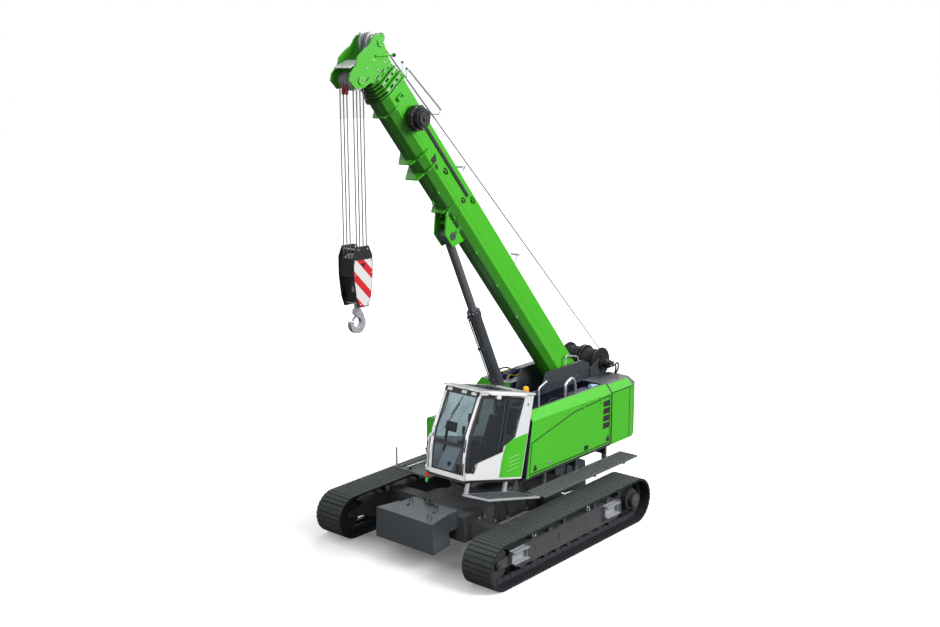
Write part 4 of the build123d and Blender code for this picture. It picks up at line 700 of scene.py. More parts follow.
def loop_place(way, height, y):
    """A way along the plates from the rear bottom, a height over them, and y, as a place in the frame."""
    way, height, y = np.broadcast_arrays(way % LOOP, height, y)
    front_turn = (way - RUN) / FRONT_BEND - np.pi / 2
    share = np.clip((way - RUN - FRONT_ARC) / RUN, 0.0, 1.0)
    rear_turn = TOP_TURN + (way - 2 * RUN - FRONT_ARC) / REAR_BEND
    reach = FRONT_BEND + (REAR_BEND - FRONT_BEND) * share + height
    stretch = np.searchsorted([RUN, RUN + FRONT_ARC, 2 * RUN + FRONT_ARC], way, side="right")
    x = np.choose(stretch, [REAR_X + way, FRONT_X + (FRONT_BEND + height) * np.cos(front_turn),
                            FRONT_X - RUN * share + reach * np.cos(TOP_TURN),
                            REAR_X + (REAR_BEND + height) * np.cos(rear_turn)])
    z = np.choose(stretch, [GROUSER - height, FRONT_RADIUS + (FRONT_BEND + height) * np.sin(front_turn),
                            FRONT_RADIUS + (REAR_RADIUS - FRONT_RADIUS) * share + reach * np.sin(TOP_TURN),
                            REAR_RADIUS + (REAR_BEND + height) * np.sin(rear_turn)])
    return np.stack([SLEW_X + x, y, z], -1)


def round_the_loop(section, spans):
    """Plates of one cross-section in (share of the pitch, height), for every shoe and each span of y."""
    share, height = np.array(section, float).T
    points = loop_place((np.arange(SHOE_COUNT)[:, None, None, None] + share) * PITCH, height,
                        np.array(spans)[None, :, :, None])
    faces = capped(2 * len(share), len(share))
    return outward(points.reshape(-1, 3), repeated(faces, 2 * len(share), SHOE_COUNT * len(spans)))


PAD_STARTS, PAD_HEIGHT, PAD_TOP = (0.035, 0.53), 0.018, 0.39
SHOE = [(0.0, -0.012), (0.03, 0.0)]
for start in PAD_STARTS:
    SHOE += [(start, 0.0), (start + 0.02, PAD_HEIGHT - 0.002), (start + 0.02 + PAD_TOP, PAD_HEIGHT - 0.002),
             (start + 0.04 + PAD_TOP, 0.0)]
SHOE += [(0.965, 0.0), (1.0, -0.01), (1.0, -0.026), (0.0, -0.026)]
LINK = [(0.02, -0.027), (0.98, -0.027), (0.96, -0.1), (0.84, -0.12), (0.16, -0.12), (0.04, -0.1)]
PIN = [(0.5 + 0.13 * math.cos(turn), -0.078 + 0.022 * math.sin(turn)) for turn in turns(8)]
SHOE_BOLT = [(0.285, 0.0), (0.405, 0.0), (0.385, 0.009), (0.305, 0.009)]


def track(side, name):
    """Shoes, link rails, pins, pads and shoe bolts of one side."""
    middle = side * TRACK_MIDDLE
    shoe_span = around(middle, SHOE_WIDTH / 2)
    piece = Piece(f"{name}_shoes")
    piece.add(round_the_loop(SHOE, [shoe_span]), shoe_steel)
    piece.add(round_the_loop(LINK, [around(middle + y, 0.03) for y in (-0.1, 0.1)]), track_steel)
    piece.add(round_the_loop(PIN, [around(middle, 0.07)]), track_steel)
    for start in PAD_STARTS:
        pad = [(start + 0.015, PAD_HEIGHT - 0.003), (start + 0.022, PAD_HEIGHT),
               (start + 0.018 + PAD_TOP, PAD_HEIGHT), (start + 0.025 + PAD_TOP, PAD_HEIGHT - 0.003)]
        piece.add(round_the_loop(pad, [shoe_span]), ridge_steel)
    spans = [around(middle + y, 0.01) for y in (-0.135, -0.065, 0.065, 0.135)]
    piece.add(round_the_loop(SHOE_BOLT, spans), track_steel)
    return piece.ride(f"{name}_crawler", f"{name}_track")


for side, name in SIDES:
    track(side, name)
print("loop of", round(LOOP, 3), "m, pitch", round(PITCH, 4))

# %% [markdown]
# The track frames carry a bolted cover on the travel drive, bolts along the roller ears, two hatch
# covers, a cap on the idler, and a tow eye and a red reflector on the inner face.

# %% Track frame fittings
def frame_fittings(side, name):
    """Drive cover, bolts, hatch covers, reflector, tow eye and idler cap of one track frame."""
    middle, out = side * TRACK_MIDDLE, (0, side, 0)
    outer, inner, face = (middle + side * reach for reach in (0.19, -0.19, 0.29))
    piece = Piece(f"{name}_frame_fittings")
    hub = on_deck(REAR_X, face, REAR_RADIUS)
    piece.add(drum(hub, out, 0.135, 0.01, 0.004, 32), slate_paint)
    piece.add(drum(hub, out, 0.055, 0.02, 0.005, 24), slate_paint)
    for radius, y, size in ((0.105, face + side * 0.009, 0.009), (0.19, middle + side * 0.18, 0.012)):
        piece.add(bolts(circle(beside, REAR_X, REAR_RADIUS, radius, 12, y), out, size, size), track_steel)
    feet = [on_deck(x + shift, outer, 0.275) for x in np.linspace(-1.5, 1.5, 9) for shift in (-0.06, 0.06)]
    piece.add(bolts(feet, out, 0.011, 0.01), track_steel)
    for x in (0.25, 1.02):
        hatch = rounded((x - 0.16, x + 0.16), (0.4, 0.56), 0.03)
        piece.add(plate(hatch, sorted((outer, outer + side * 0.008)), beside), slate_paint)
    corners = [on_deck(0.25 + x, outer + side * 0.007, z) for x in (-0.13, 0.13) for z in (0.43, 0.53)]
    piece.add(bolts(corners, out, 0.008, 0.008), track_steel)
    tow_eye = curve(spots(on_deck, (2.17, inner, 0.47), (2.16, inner - side * 0.05, 0.5),
                          (2.12, inner - side * 0.02, 0.56)), 8)
    piece.add(tube(tow_eye, 0.01, 8), track_steel)
    piece.add(drum(on_deck(2.06, inner, 0.46), (0, -side, 0), 0.038, 0.01, 0.003, 20), red_lens)
    cap = drum(on_deck(FRONT_X, outer, FRONT_RADIUS), out, 0.055, 0.022, 0.006, 24)
    return piece.add(cap, track_steel).ride(f"{name}_crawler")


for side, name in SIDES:
    frame_fittings(side, name)

# %% [markdown]
# Wire rope is a tube with its own map: u runs along it in metres and v once round it, so the strands
# that the rope finish paints keep their lay on every rope. The falls go round the head's and the
# block's sheaves as closed loops. The hoist rope runs up the boom in five lengths; the four lower
# ones stay where they are made, and the one over the head rides on the last telescope.

# %% Ropes
WINCH_X, WINCH_Z, COIL_RADIUS = -3.65, 2.96, 0.276
PIVOT_TO_WINCH = beside(WINCH_X, WINCH_Z, 0.0) - PIVOT
WINCH_S, WINCH_V = PIVOT_TO_WINCH @ ALONG, PIVOT_TO_WINCH @ BACK
UPPER_S, UPPER_V, UPPER_GROOVE = 9.42, 0.304, 0.185
LOWER_S, LOWER_V, FALLS_REACH = 9.24, -0.49, 0.1593
EYE_S, EYE_V = 5.35, -0.56
FALLS_Y = (-0.1275, -0.0425, 0.0425, 0.1275)
BLOCK_Z = 6.15
ROPE_RADIUS, SHEAVE_ROPE_RADIUS = 0.011, 0.0095
HEAD = on_boom(LOWER_S, LOWER_V)
HEAD_X = HEAD[0] - SLEW_X


def strands(name, paths, finish, radius, sides=8):
    """Tubes with a map: u is the way along each path, v the share of a turn round it."""
    points, faces, maps = [], [], []
    for path in paths:
        start = sum(len(own) for own in points)
        own, own_faces = tube(path, radius, sides)
        points.append(own)
        faces += [[corner + start for corner in face] for face in own_faces]
        way = np.r_[0.0, np.linalg.norm(np.diff(path, axis=0), axis=1).cumsum()]
        row, column = np.divmod(np.arange((len(path) - 1) * sides), sides)
        share = np.stack([column, column + 1, column + 1, column], -1) / sides
        maps.append(np.stack([way[np.stack([row, row, row + 1, row + 1], -1)], share], -1).reshape(-1, 2))
        maps.append(np.zeros((2 * sides, 2)))
    mesh = new_mesh(name, np.vstack(points), faces, 50.0, [finish])
    mesh.uv_layers.new(name="UVMap").data.foreach_set("uv", np.vstack(maps).astype(np.float32).ravel())
    print(f"{name}: {len(faces)} faces")
    return linked(name, mesh)


def arc(place, a, b, radius, start, end, y=0.0, steps=14):
    """Points round (a, b) of a place: (a + r cos t, b + r sin t) between two angles in degrees."""
    t = np.radians(np.linspace(start, end, steps))
    return place(a + radius * np.cos(t), b + radius * np.sin(t), y)


def helix(span, pitch):
    """Coils side by side on a drum: the angle grows by a full turn for each pitch along y."""
    turns_round = (span[1] - span[0]) / pitch
    t = np.linspace(0.0, 2 * math.pi * turns_round, int(turns_round * 20))
    y = span[0] + pitch * t / (2 * math.pi)
    return beside(WINCH_X + COIL_RADIUS * np.cos(t), WINCH_Z + COIL_RADIUS * np.sin(t), y)


loops = [np.vstack([arc(beside, HEAD_X, HEAD[2], FALLS_REACH, 0, 180, y),
                    arc(beside, HEAD_X, BLOCK_Z, FALLS_REACH, 180, 360, y)]) for y in FALLS_Y[:3]]
closing = [np.vstack([loop, loop[:1] + (loop[1:2] - loop[:1]) * 0.01]) for loop in loops]
last = np.vstack([arc(beside, HEAD_X, HEAD[2], FALLS_REACH, 95, 180, FALLS_Y[3]),
                  on_deck(HEAD_X - FALLS_REACH, FALLS_Y[3], BLOCK_Z)[None]])
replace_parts(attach(strands("falls", closing + [last], rope_steel, ROPE_RADIUS), "hook_block"), "hoist_falls")

ROPE_BODIES = ("superstructure", "boom", "telescope_1", "telescope_2", "telescope_3")
STATIONS = np.array([WINCH_S, 1.2, 8.55, 8.76, 8.9])
share = (STATIONS - WINCH_S) / (UPPER_S - WINCH_S)
rope_top = WINCH_V + COIL_RADIUS + 0.009
run = on_boom(STATIONS, rope_top + share * (UPPER_V + UPPER_GROOVE - rope_top), 0.24 * (1.0 - share))
for number, (first, second) in enumerate(zip(ROPE_BODIES, ROPE_BODIES[1:])):
    start, end = run[number], run[number + 1]
    length = strands(f"hoist_rope_{number + 1}", [np.linspace(start, end, 24)], dark_rope, ROPE_RADIUS)
    bend_start = start + 0.42 * (end - start) if number == 0 else start
    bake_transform(length)
over = np.vstack([run[-1][None], arc(on_boom, UPPER_S, UPPER_V, UPPER_GROOVE, 90, -25, 0.0),
                  arc(on_boom, LOWER_S, LOWER_V, FALLS_REACH, 55, 150, FALLS_Y[3])])
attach(strands("hoist_rope_head", [over], dark_rope, SHEAVE_ROPE_RADIUS), "telescope_3")
for name, span in (("main_winch", (-0.035, 0.345)), ("aux_winch", (-0.515, -0.135))):
    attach(strands(f"{name}_coils", [helix(span, 0.0195)], dark_rope, SHEAVE_ROPE_RADIUS, 6), name)
    core = Piece(f"{name}_core")
    core.add(drum(beside(WINCH_X, WINCH_Z, span[0]), LEFTWARD, COIL_RADIUS - 0.004, span[1] - span[0], 0.0, 48),
             black_plastic)
    for radius in (0.1, 0.32):
        ring = circle(beside, WINCH_X, WINCH_Z, radius, 12, span[1] + 0.027)
        core.add(bolts(ring, LEFTWARD, 0.01, 0.01), track_steel)
    core.ride(name)

# %% [markdown]
# The boom head holds the rope on its sheaves with guards and keeper bars, and its axles end in
# bolted caps. Each section's mouth is a stiff collar: between its two rims a black sleeve and black
# side plates are painted shade in the gap, and on them sit the adjusting blocks of the slide pads,
# with bright bolts.

# %% Boom head and collars
head = Piece("head_fittings")
for s, v in ((UPPER_S, UPPER_V), (LOWER_S, LOWER_V)):
    for side in (-1, 1):
        head.add(drum(on_boom(s, v, side * 0.245), (0, side, 0), 0.075, 0.022, 0.004, 28), green_paint)
        head.add(bolts(circle(on_boom, s, v, 0.055, 6, side * 0.266), (0, side, 0), 0.009, 0.009), rail_steel)
guard = [(9.452, -0.2), (9.506, -0.36), (9.548, -0.52), (9.56, -0.517), (9.518, -0.356), (9.464, -0.197)]
head.add(plate(guard, (-0.2, 0.2), on_boom), white_paint)
for start, end, radius, sides, finish in (
        ((9.58, 0.35, -0.215), (9.582, 0.32, 0.215), 0.014, 12, rail_steel),
        ((9.452, -0.371, -0.3), (9.452, -0.371, -0.245), 0.012, 12, black_plastic),
        ((9.513, 0.441, -0.29), (9.513, 0.441, 0.29), 0.011, 10, rail_steel)):
    head.add(tube(spots(on_boom, start, end), radius, sides), finish)
for s, v, y, radius in ((9.452, -0.371, -0.335, 0.026), (9.513, 0.441, -0.32, 0.024)):
    head.add(drum(on_boom(s, v, y), LEFTWARD, radius, 0.04, 0.008, 16), black_plastic)
ear = [(9.33, 0.36), (9.42, 0.47), (9.5, 0.48), (9.535, 0.44), (9.52, 0.36)]
for side in (-1, 1):
    head.add(plate(ear, apart(side, 0.222, 0.236), on_boom), green_paint)
    for s, v in ((9.1, 0.16), (9.1, -0.06), (9.3, -0.02), (9.3, -0.24)):
        head.add(bolts(on_boom(s, v, side * 0.245), (0, side, 0), 0.016, 0.014), rail_steel)
arm = spots(on_boom, (9.33, 0.06, 0.258), (9.2, 0.23, 0.262), (9.06, 0.4, 0.262))
head.add(tube(arm, 0.02, 12), green_paint)
head.add(drum(on_boom(9.055, 0.405, 0.23), LEFTWARD, 0.032, 0.07, 0.008, 18), black_plastic)
for s, v in ((9.02, -0.14), (9.02, 0.02), (9.16, -0.36)):
    head.add(slab(on_boom, around(s, 0.012), around(v, 0.05), (0.2445, 0.2475)), black_paint)
head.ride("telescope_3")


def grown(outline, reach):
    """Corners of a convex outline, counter-clockwise, with every edge moved out by the reach."""
    corners = np.array(outline, float)
    edge = np.roll(corners, -1, axis=0) - corners
    out = np.stack([edge[:, 1], -edge[:, 0]], -1) / np.linalg.norm(edge, axis=1)[:, None]
    distance = (corners * out).sum(axis=1) + reach
    pairs, offsets = np.stack([np.roll(out, 1, axis=0), out], 1), np.stack([np.roll(distance, 1), distance], -1)
    return np.linalg.solve(pairs, offsets[..., None])[..., 0]


def sleeve(outer, inner, low, high):
    """Ring between two outlines in (y, v) with equal corners, over a length of the boom."""
    count = len(outer)
    rows = [(low, outer), (high, outer), (high, inner), (low, inner)]
    points = np.concatenate([on_boom(s, outline[:, 1], outline[:, 0]) for s, outline in rows])
    near = np.arange(count)
    far = (near + 1) % count
    quads = [np.stack([row * count + near, row * count + far, (row + 1) % 4 * count + far,
                       (row + 1) % 4 * count + near], -1) for row in range(4)]
    return points, np.concatenate(quads).tolist()


BOOM_HALF, BOOM_TOP, NESTING = 0.25, 0.33, 0.026
RIGHT_HALF = [(-BOOM_HALF, BOOM_TOP), (-BOOM_HALF, -0.15), (-0.17, -0.311), (-0.07, -0.38)]
BOOM_OUTLINE = RIGHT_HALF + [(-y, v) for y, v in reversed(RIGHT_HALF)]

for index, mouth in enumerate((8.74, 8.88, 9.02), start=1):
    half, back, middle = BOOM_HALF - NESTING * index, BOOM_TOP - NESTING * index, mouth - 0.0525
    pads = Piece(f"collar_{index}_pads")
    skin_of = grown(BOOM_OUTLINE, -NESTING * index)
    # Painted shade: this black sleeve and the black side plates below fill the gap between the rims, where shade
    # falls.
    pads.add(sleeve(grown(skin_of, 0.0035), grown(skin_of, 0.0005), middle - 0.0375, middle + 0.0225), black_paint)
    for side in (-1, 1):
        pads.add(slab(on_boom, around(middle, 0.034), (-0.19, 0.29), apart(side, half, half + 0.004)), black_paint)
        for v in (-0.09, 0.1, 0.25):
            for wide, tall, low, high, finish in ((0.022, 0.052, 0.0, 0.036, black_paint),
                                                  (0.019, 0.046, 0.035, 0.039, sheave_steel)):
                block = slab(on_boom, around(middle, wide), around(v, tall), apart(side, half + low, half + high))
                pads.add(block, finish)
            places = on_boom(middle, np.array([v - 0.022, v + 0.022]), side * (half + 0.038))
            pads.add(bolts(places, (0, side, 0), 0.01, 0.011), rail_steel)
        pads.add(slab(on_boom, around(middle, 0.02), (back, back + 0.034), apart(side, 0.09, 0.17)), black_paint)
        places = on_boom(middle, back + 0.034, side * np.array([0.11, 0.15]))
        pads.add(bolts(places, BACK, 0.01, 0.011), rail_steel)
    pads.ride(f"telescope_{index}")

# %% [markdown]
# Along the boom run a weld seam on each side, hooks and levers that hold the slack rope, catches for
# an extension, and small brackets and a pipe under the belly. The cable reel has a stepped hub. They
# are plates and bent rods in the boom's own directions.

# %% Boom fittings
fittings = Piece("boom_fittings")
for side in (-1, 1):
    seam = [(1.1, 0.03), (3.924, -0.02), (5.904, -0.056), (8.2, -0.098), (8.2, -0.104), (5.904, -0.062),
            (3.924, -0.026), (1.1, 0.024)]
    fittings.add(plate(seam, apart(side, 0.249, 0.253), on_boom), green_paint)
    for s in (6.153, 3.614):
        hook = curve(spots(on_boom, (s, 0.335, side * 0.235), (s + 0.01, 0.4, side * 0.24),
                           (s + 0.03, 0.455, side * 0.25), (s + 0.07, 0.46, side * 0.25),
                           (s + 0.08, 0.42, side * 0.25)), 14)
        fittings.add(tube(hook, 0.009, 8), rail_steel)
for s, v in ((8.4, 0.45), (8.56, 0.44)):
    lever = bent(spots(on_boom, (s, 0.335, 0.2), (s + 0.1, v, 0.2), (s + 0.22, v + 0.1, 0.2)), 0.04)
    fittings.add(tube(lever, 0.009, 8), rail_steel)
    fittings.add(drum(on_boom(s + 0.215, v + 0.1, 0.18), LEFTWARD, 0.02, 0.04, 0.008, 14), black_plastic)
bracket = [(8.36, -0.05), (8.45, -0.05), (8.45, 0.11), (8.36, 0.11), (8.36, 0.09), (8.43, 0.09), (8.43, -0.03),
           (8.36, -0.03)]
fittings.add(plate(bracket, (0.249, 0.3), on_boom), green_paint)
for s in (6.3, 5.6, 4.6, 3.6, 2.6):
    fittings.add(slab(on_boom, around(s, 0.03), (-0.33, -0.3), around(0.17, 0.02)), green_paint)
fittings.add(tube(spots(on_boom, (1.6, -0.345, 0.185), (6.4, -0.345, 0.185)), 0.011, 8), slate_paint)
for side in (-1, 1):
    rim_bolts = on_boom(8.605, np.array([-0.17, 0.05, 0.25]), side * 0.2945)
    fittings.add(bolts(rim_bolts, (0, side, 0), 0.011, 0.01), rail_steel)
for side in (-1, 1):
    fittings.add(drum(on_boom(EYE_S, EYE_V, side * 0.157), (0, side, 0), 0.085, 0.014, 0.004, 28), slate_paint)
    ring = circle(on_boom, EYE_S, EYE_V, 0.06, 6, side * 0.171)
    fittings.add(bolts(ring, (0, side, 0), 0.008, 0.008), rail_steel)
for s, v, reach in ((5.557, 0.212, 0.06), (5.752, 0.022, 0.045), (6.537, 0.025, 0.055)):
    catch = bent(spots(on_boom, (s - reach, v, 0.248), (s - reach, v, 0.3), (s + reach, v + 0.03, 0.3),
                       (s + reach, v + 0.03, 0.248)), 0.025)
    fittings.add(tube(catch, 0.013, 10), black_plastic)
    fittings.add(slab(on_boom, around(s, 0.02), (v - 0.04, v + 0.02), (0.249, 0.256)), black_plastic)
# Painted shadow: a thin black triangle on the boom's side where shade falls between the rib and the side face.
painted_shadow_triangle = [(6.98, -0.12), (6.98, 0.06), (6.72, -0.07), (6.72, -0.12)]
fittings.add(plate(painted_shadow_triangle, (0.249, 0.253), on_boom), black_plastic)
for s, y in ((6.099, 0.0), (5.815, 0.17), (5.751, 0.0), (5.345, 0.17)):
    belly = -0.38 + y * 0.4
    foot = [(s - 0.05, belly), (s + 0.05, belly), (s + 0.02, -0.45), (s - 0.02, -0.45)]
    fittings.add(plate(foot, around(y, 0.012), on_boom), green_paint)
fittings.ride("boom")

REEL_S, REEL_V = 7.88, 0.05
reel = Piece("reel_fittings")
reel.add(bolts(circle(on_boom, REEL_S, REEL_V, 0.215, 8, 0.4205, 0.25), LEFTWARD, 0.008, 0.008), rail_steel)
for radius, span in ((0.188, (0.4605, 0.52)), (0.15, (0.52, 0.555))):
    turn = turns(8, math.pi / 8)
    outline = np.stack([REEL_S + radius * np.cos(turn), REEL_V + radius * np.sin(turn)], -1)
    reel.add(plate(outline, span, on_boom), black_plastic)
reel.add(slab(on_boom, (7.86, 7.9), (0.03, 0.22), (0.5, 0.572)), black_paint)
reel.add(drum(on_boom(REEL_S, REEL_V, 0.555), LEFTWARD, 0.05, 0.018, 0.004, 28), black_paint)
lead = curve(spots(on_boom, (7.69, 0.18, 0.34), (7.75, 0.24, 0.37), (7.85, 0.27, 0.37)), 12)
reel.add(tube(lead, 0.01, 8), rubber)
reel.ride("boom")

# %% [markdown]
# The luffing cylinder ends in a gland where the rod goes in. Its oil runs through two pipes clamped
# along the front of the barrel, to a valve at their upper end.

# %% Cylinder fittings
FOOT = on_deck(-1.03, 0.0, 1.72)
EYE = on_boom(EYE_S, EYE_V)
REACH = (EYE - FOOT) / np.linalg.norm(EYE - FOOT)
OUT = np.array([REACH[2], 0.0, -REACH[0]])


def on_cylinder(way, out, y):
    """Place of a point of the cylinder: a way up from its foot, and out from its axis to the front."""
    return framed(FOOT, REACH, OUT, way, out, y)


cylinder = Piece("cylinder_fittings")
gland = on_cylinder(3.37, 0.124 * np.cos(turns(10)), 0.124 * np.sin(turns(10)))
cylinder.add(bolts(gland, REACH, 0.011, 0.012), rail_steel)
cylinder.add(drum(on_cylinder(3.37, 0.0, 0.0), REACH, 0.104, 0.016, 0.004, 32), black_plastic)
for y in (-0.05, 0.05):
    pipe = bent(spots(on_cylinder, (0.3, 0.1, y), (0.36, 0.15, y), (3.2, 0.15, y), (3.27, 0.12, y)), 0.04)
    cylinder.add(tube(pipe, 0.013, 10), slate_paint)
for way in (0.9, 1.7, 2.5):
    cylinder.add(slab(on_cylinder, around(way, 0.02), (0.115, 0.172), (-0.075, 0.075)), slate_paint)
cylinder.add(slab(on_cylinder, (3.255, 3.345), (0.12, 0.185), (-0.045, 0.045)), black_plastic)
cylinder.add(drum(on_cylinder(3.3, 0.18, 0.0), OUT, 0.016, 0.045, 0.003, 12), rail_steel)
cylinder.ride("luff_barrel")

# %% [markdown]
# The hook block warns whoever stands below with red and white stripes. They are a finish of their
# own: the stripe is the sign of a sine along the diagonal of the cheek. Guards close the block in
# front and behind, and bolts tie its cheeks.

# %% Hook block
def striped(name, first, second, period, share, start):
    """Slanting stripes of a second colour: their period and share of it along z − x, and one stripe's middle."""
    finish = Finish(name, first, 0.36, coat=0.4)
    x, z = finish.parts(finish.place)[::2]
    wave = ((z - x - start) * (2.0 * math.pi / period)).maths("COSINE")
    edge = ((wave - math.cos(math.pi * share)) * 30.0 + 0.5).clipped()
    finish.set("Base Color", finish.mix(edge, first, second))
    finish.set("Roughness", finish.noise(8.0) * 0.2 + 0.28)
    return finish


warning_stripes = striped("warning_stripes", (0.84, 0.84, 0.83), (0.72, 0.012, 0.022), 0.43, 0.42, 2.031)
SIGN = [(0.205, 6.235), (0.224, 6.15), (0.224, 5.95), (0.175, 5.56), (0.108, 5.392)]
block = Piece("block_fittings")
for side in (-1, 1):
    sign = [(HEAD_X + x, z) for x, z in SIGN] + [(HEAD_X - x, z) for x, z in reversed(SIGN)]
    block.add(plate(sign, apart(side, 0.1952, 0.1985), beside), warning_stripes)
    block.add(drum(on_deck(HEAD_X, side * 0.1985, BLOCK_Z), (0, side, 0), 0.034, 0.016, 0.005, 28), black_paint)
    ties = [on_deck(HEAD_X + way * x, side * 0.1985, z) for way in (-1, 1)
            for x, z in ((0.11, 6.42), (0.205, 6.23), (0.205, 5.98), (0.085, 5.43))]
    block.add(bolts(ties, (0, side, 0), 0.013, 0.013), rail_steel)
    for x, half in ((0.222, 0.005), (0.205, 0.003)):
        block.add(slab(beside, around(HEAD_X - side * x, half), (5.93, 6.27), (-0.168, 0.168)), black_paint)
for x, z in ((0.11, 6.42), (-0.11, 6.42), (0.085, 5.43), (-0.085, 5.43)):
    block.add(drum(on_deck(HEAD_X + x, -0.17, z), LEFTWARD, 0.014, 0.34, 0.0, 12), rail_steel)
block.add(tube(arc(beside, HEAD_X, 6.44, 0.055, -20, 200, 0.0, 16), 0.013, 10), black_paint)
for y in FALLS_Y[1:3]:
    block.add(drum(on_deck(HEAD_X + FALLS_REACH, y, 9.15), UPWARD, 0.032, 0.15, 0.012, 20), weight_red)
block.ride("hook_block")

latch = Piece("hook_latch")
tongue = [(-0.055, 5.235), (-0.03, 5.243), (0.112, 5.12), (0.1, 5.1)]
latch.add(plate([(HEAD_X + x, z) for x, z in tongue], (-0.03, 0.03), beside), rail_steel)
latch.add(drum(on_deck(HEAD_X - 0.04, -0.055, 5.235), LEFTWARD, 0.013, 0.11, 0.003, 14), rail_steel)
latch.ride("hook")

# %% [markdown]
# Panels of a machine meet at rubber seals, and windows sit in black gaskets. Both are flat strips
# along a line. A strip's corners are cut on the bisector of the two edges that meet there, so it
# keeps its width, and the same function makes a closed ring or an open run.

# %% Strips
def band(points, width, span, place, closed=False):
    """Strip of a width along a line: each corner p moves to p +- width / 2 (n1 + n2) / (1 + n1 . n2)."""
    points = np.asarray(points, float)
    step = np.diff(np.vstack([points, points[:1]]) if closed else points, axis=0)
    normal = np.stack([-step[:, 1], step[:, 0]], -1) / np.linalg.norm(step, axis=1, keepdims=True)
    before = np.roll(normal, 1, 0) if closed else np.vstack([normal[:1], normal])
    after = normal if closed else np.vstack([normal, normal[-1:]])
    mitre = (before + after) / (1.0 + (before * after).sum(1, keepdims=True)) * width / 2
    inner, outer = points - mitre, points + mitre
    rings = np.stack([place(*edge.T, level) for edge, level in (
        (inner, span[0]), (outer, span[0]), (outer, span[1]), (inner, span[1]))], 1).reshape(-1, 3)
    faces = (ring_quads(len(points) + 1, 4) % len(rings)).tolist() if closed else capped(len(rings), 4)
    return outward(rings, faces)


# %% [markdown]
# The seams of the hoods carry black rubber, and a black strip under the hoods' lower edge is painted
# shade. Each door has four black louvre squares and two drop handles, the left one a lock as well,
# and a door takes them along when it opens.

# %% Hood trim
SIDE_FACE = 1.43
DOORS = {"left": [(0.375, 1.565), (0.3, 2.21), (-1.14, 2.54), (-2.47, 2.62), (-2.47, 1.565)],
         "right": [(-1.41, 1.565), (-1.41, 2.56), (-2.47, 2.62), (-2.47, 1.565)]}
HANDLES = {"left": (0.188, -2.4), "right": (-1.5, -2.38)}
DROP = [(-0.045, -0.055), (0.045, -0.055), (0.058, -0.02), (0.02, 0.065), (-0.02, 0.065), (-0.058, -0.02)]


def seam_place(y, z, x):
    """Place of a point of a seam across the machine: first y and z, then x."""
    return on_deck(x, y, z)


def skin(side, low, high):
    """Span of y between two heights over the side face."""
    return apart(side, SIDE_FACE + low, SIDE_FACE + high)


def door_trim(side, name):
    """Seal, drop handles, louvre squares and, on the left, the lock plates of one hood door."""
    piece = Piece(f"{name}_door_trim")
    piece.add(band(DOORS[name], 0.024, skin(side, 0.0002, 0.0022), beside, True), black_plastic)
    for x in HANDLES[name]:
        drop = [(x + shift, 1.66 + rise) for shift, rise in DROP]
        piece.add(plate(drop, skin(side, 0.0, 0.006), beside), black_plastic)
        knob = on_deck(x, side * (SIDE_FACE + 0.005), 1.645)
        piece.add(drum(knob, (0, side, 0), 0.026, 0.01, 0.003, 18), track_steel)
    for top in 2.53 - 0.163 * np.arange(4):
        square = rounded((-2.452, -2.225), (top - 0.128, top), 0.018)
        piece.add(plate(square, skin(side, 0.0, 0.004), beside), black_plastic)
        for level in np.linspace(top - 0.11, top - 0.018, 5):
            piece.add(slab(beside, (-2.436, -2.241), around(level, 0.006), skin(side, 0.003, 0.008)), black_paint)
    if name == "left":
        lock = rounded((-1.66, -1.53), (1.6, 1.7), 0.012)
        piece.add(plate(lock, skin(side, 0.0, 0.012), beside), black_plastic)
        blank = rounded((-0.345, -0.22), (1.64, 1.7), 0.012)
        piece.add(plate(blank, skin(side, 0.0, 0.01), beside), rail_steel)
    return piece.ride(f"{name}_hood_door")


for side, name in SIDES:
    door_trim(side, name)

trim = Piece("hood_trim")
for side, top in ((1, 2.84), (-1, 2.8)):
    wall = side * (SIDE_FACE + 0.0005)
    section = [(wall, 1.5), (wall, top - 0.182), (side * 1.28, top - 0.002)]
    trim.add(band(section, 0.006, (-2.562, -2.518), seam_place), black_plastic)
    for seam, width, low, high in (([(-2.56, 2.658), (-3.375, 2.658)], 0.022, -0.002, 0.002),
                                   ([(-3.25, 2.655), (-3.25, 1.485)], 0.022, -0.002, 0.002),
                                   ([(0.37, 1.514), (-2.53, 1.514)], 0.026, 0.0002, 0.0022)):
        trim.add(band(seam, width, skin(side, low, high), beside), black_plastic)
# Painted shade: a black strip under the hoods' lower edge, where their shadow falls.
trim.add(slab(on_deck, (-2.52, 0.3), (SIDE_FACE - 0.035, SIDE_FACE - 0.01), (1.47, 1.499)), black_plastic)
trim.ride("superstructure")

# %% [markdown]
# Both hoods are open at the top, over the machinery: on the left the oil filters and the air
# intake, on the right the engine with its hoses. Hoses are smooth curves through a few points.

# %% Machinery under the hoods
hose_yellow = moulded("yellow_hose", (0.62, 0.45, 0.03), 0.45)
hose_blue = moulded("blue_hose", (0.03, 0.05, 0.3), 0.45)
pale_blue = moulded("pale_blue_plastic", (0.3, 0.55, 0.68), 0.4)
violet_grey = moulded("violet_grey_casting", (0.1, 0.1, 0.19), 0.5)

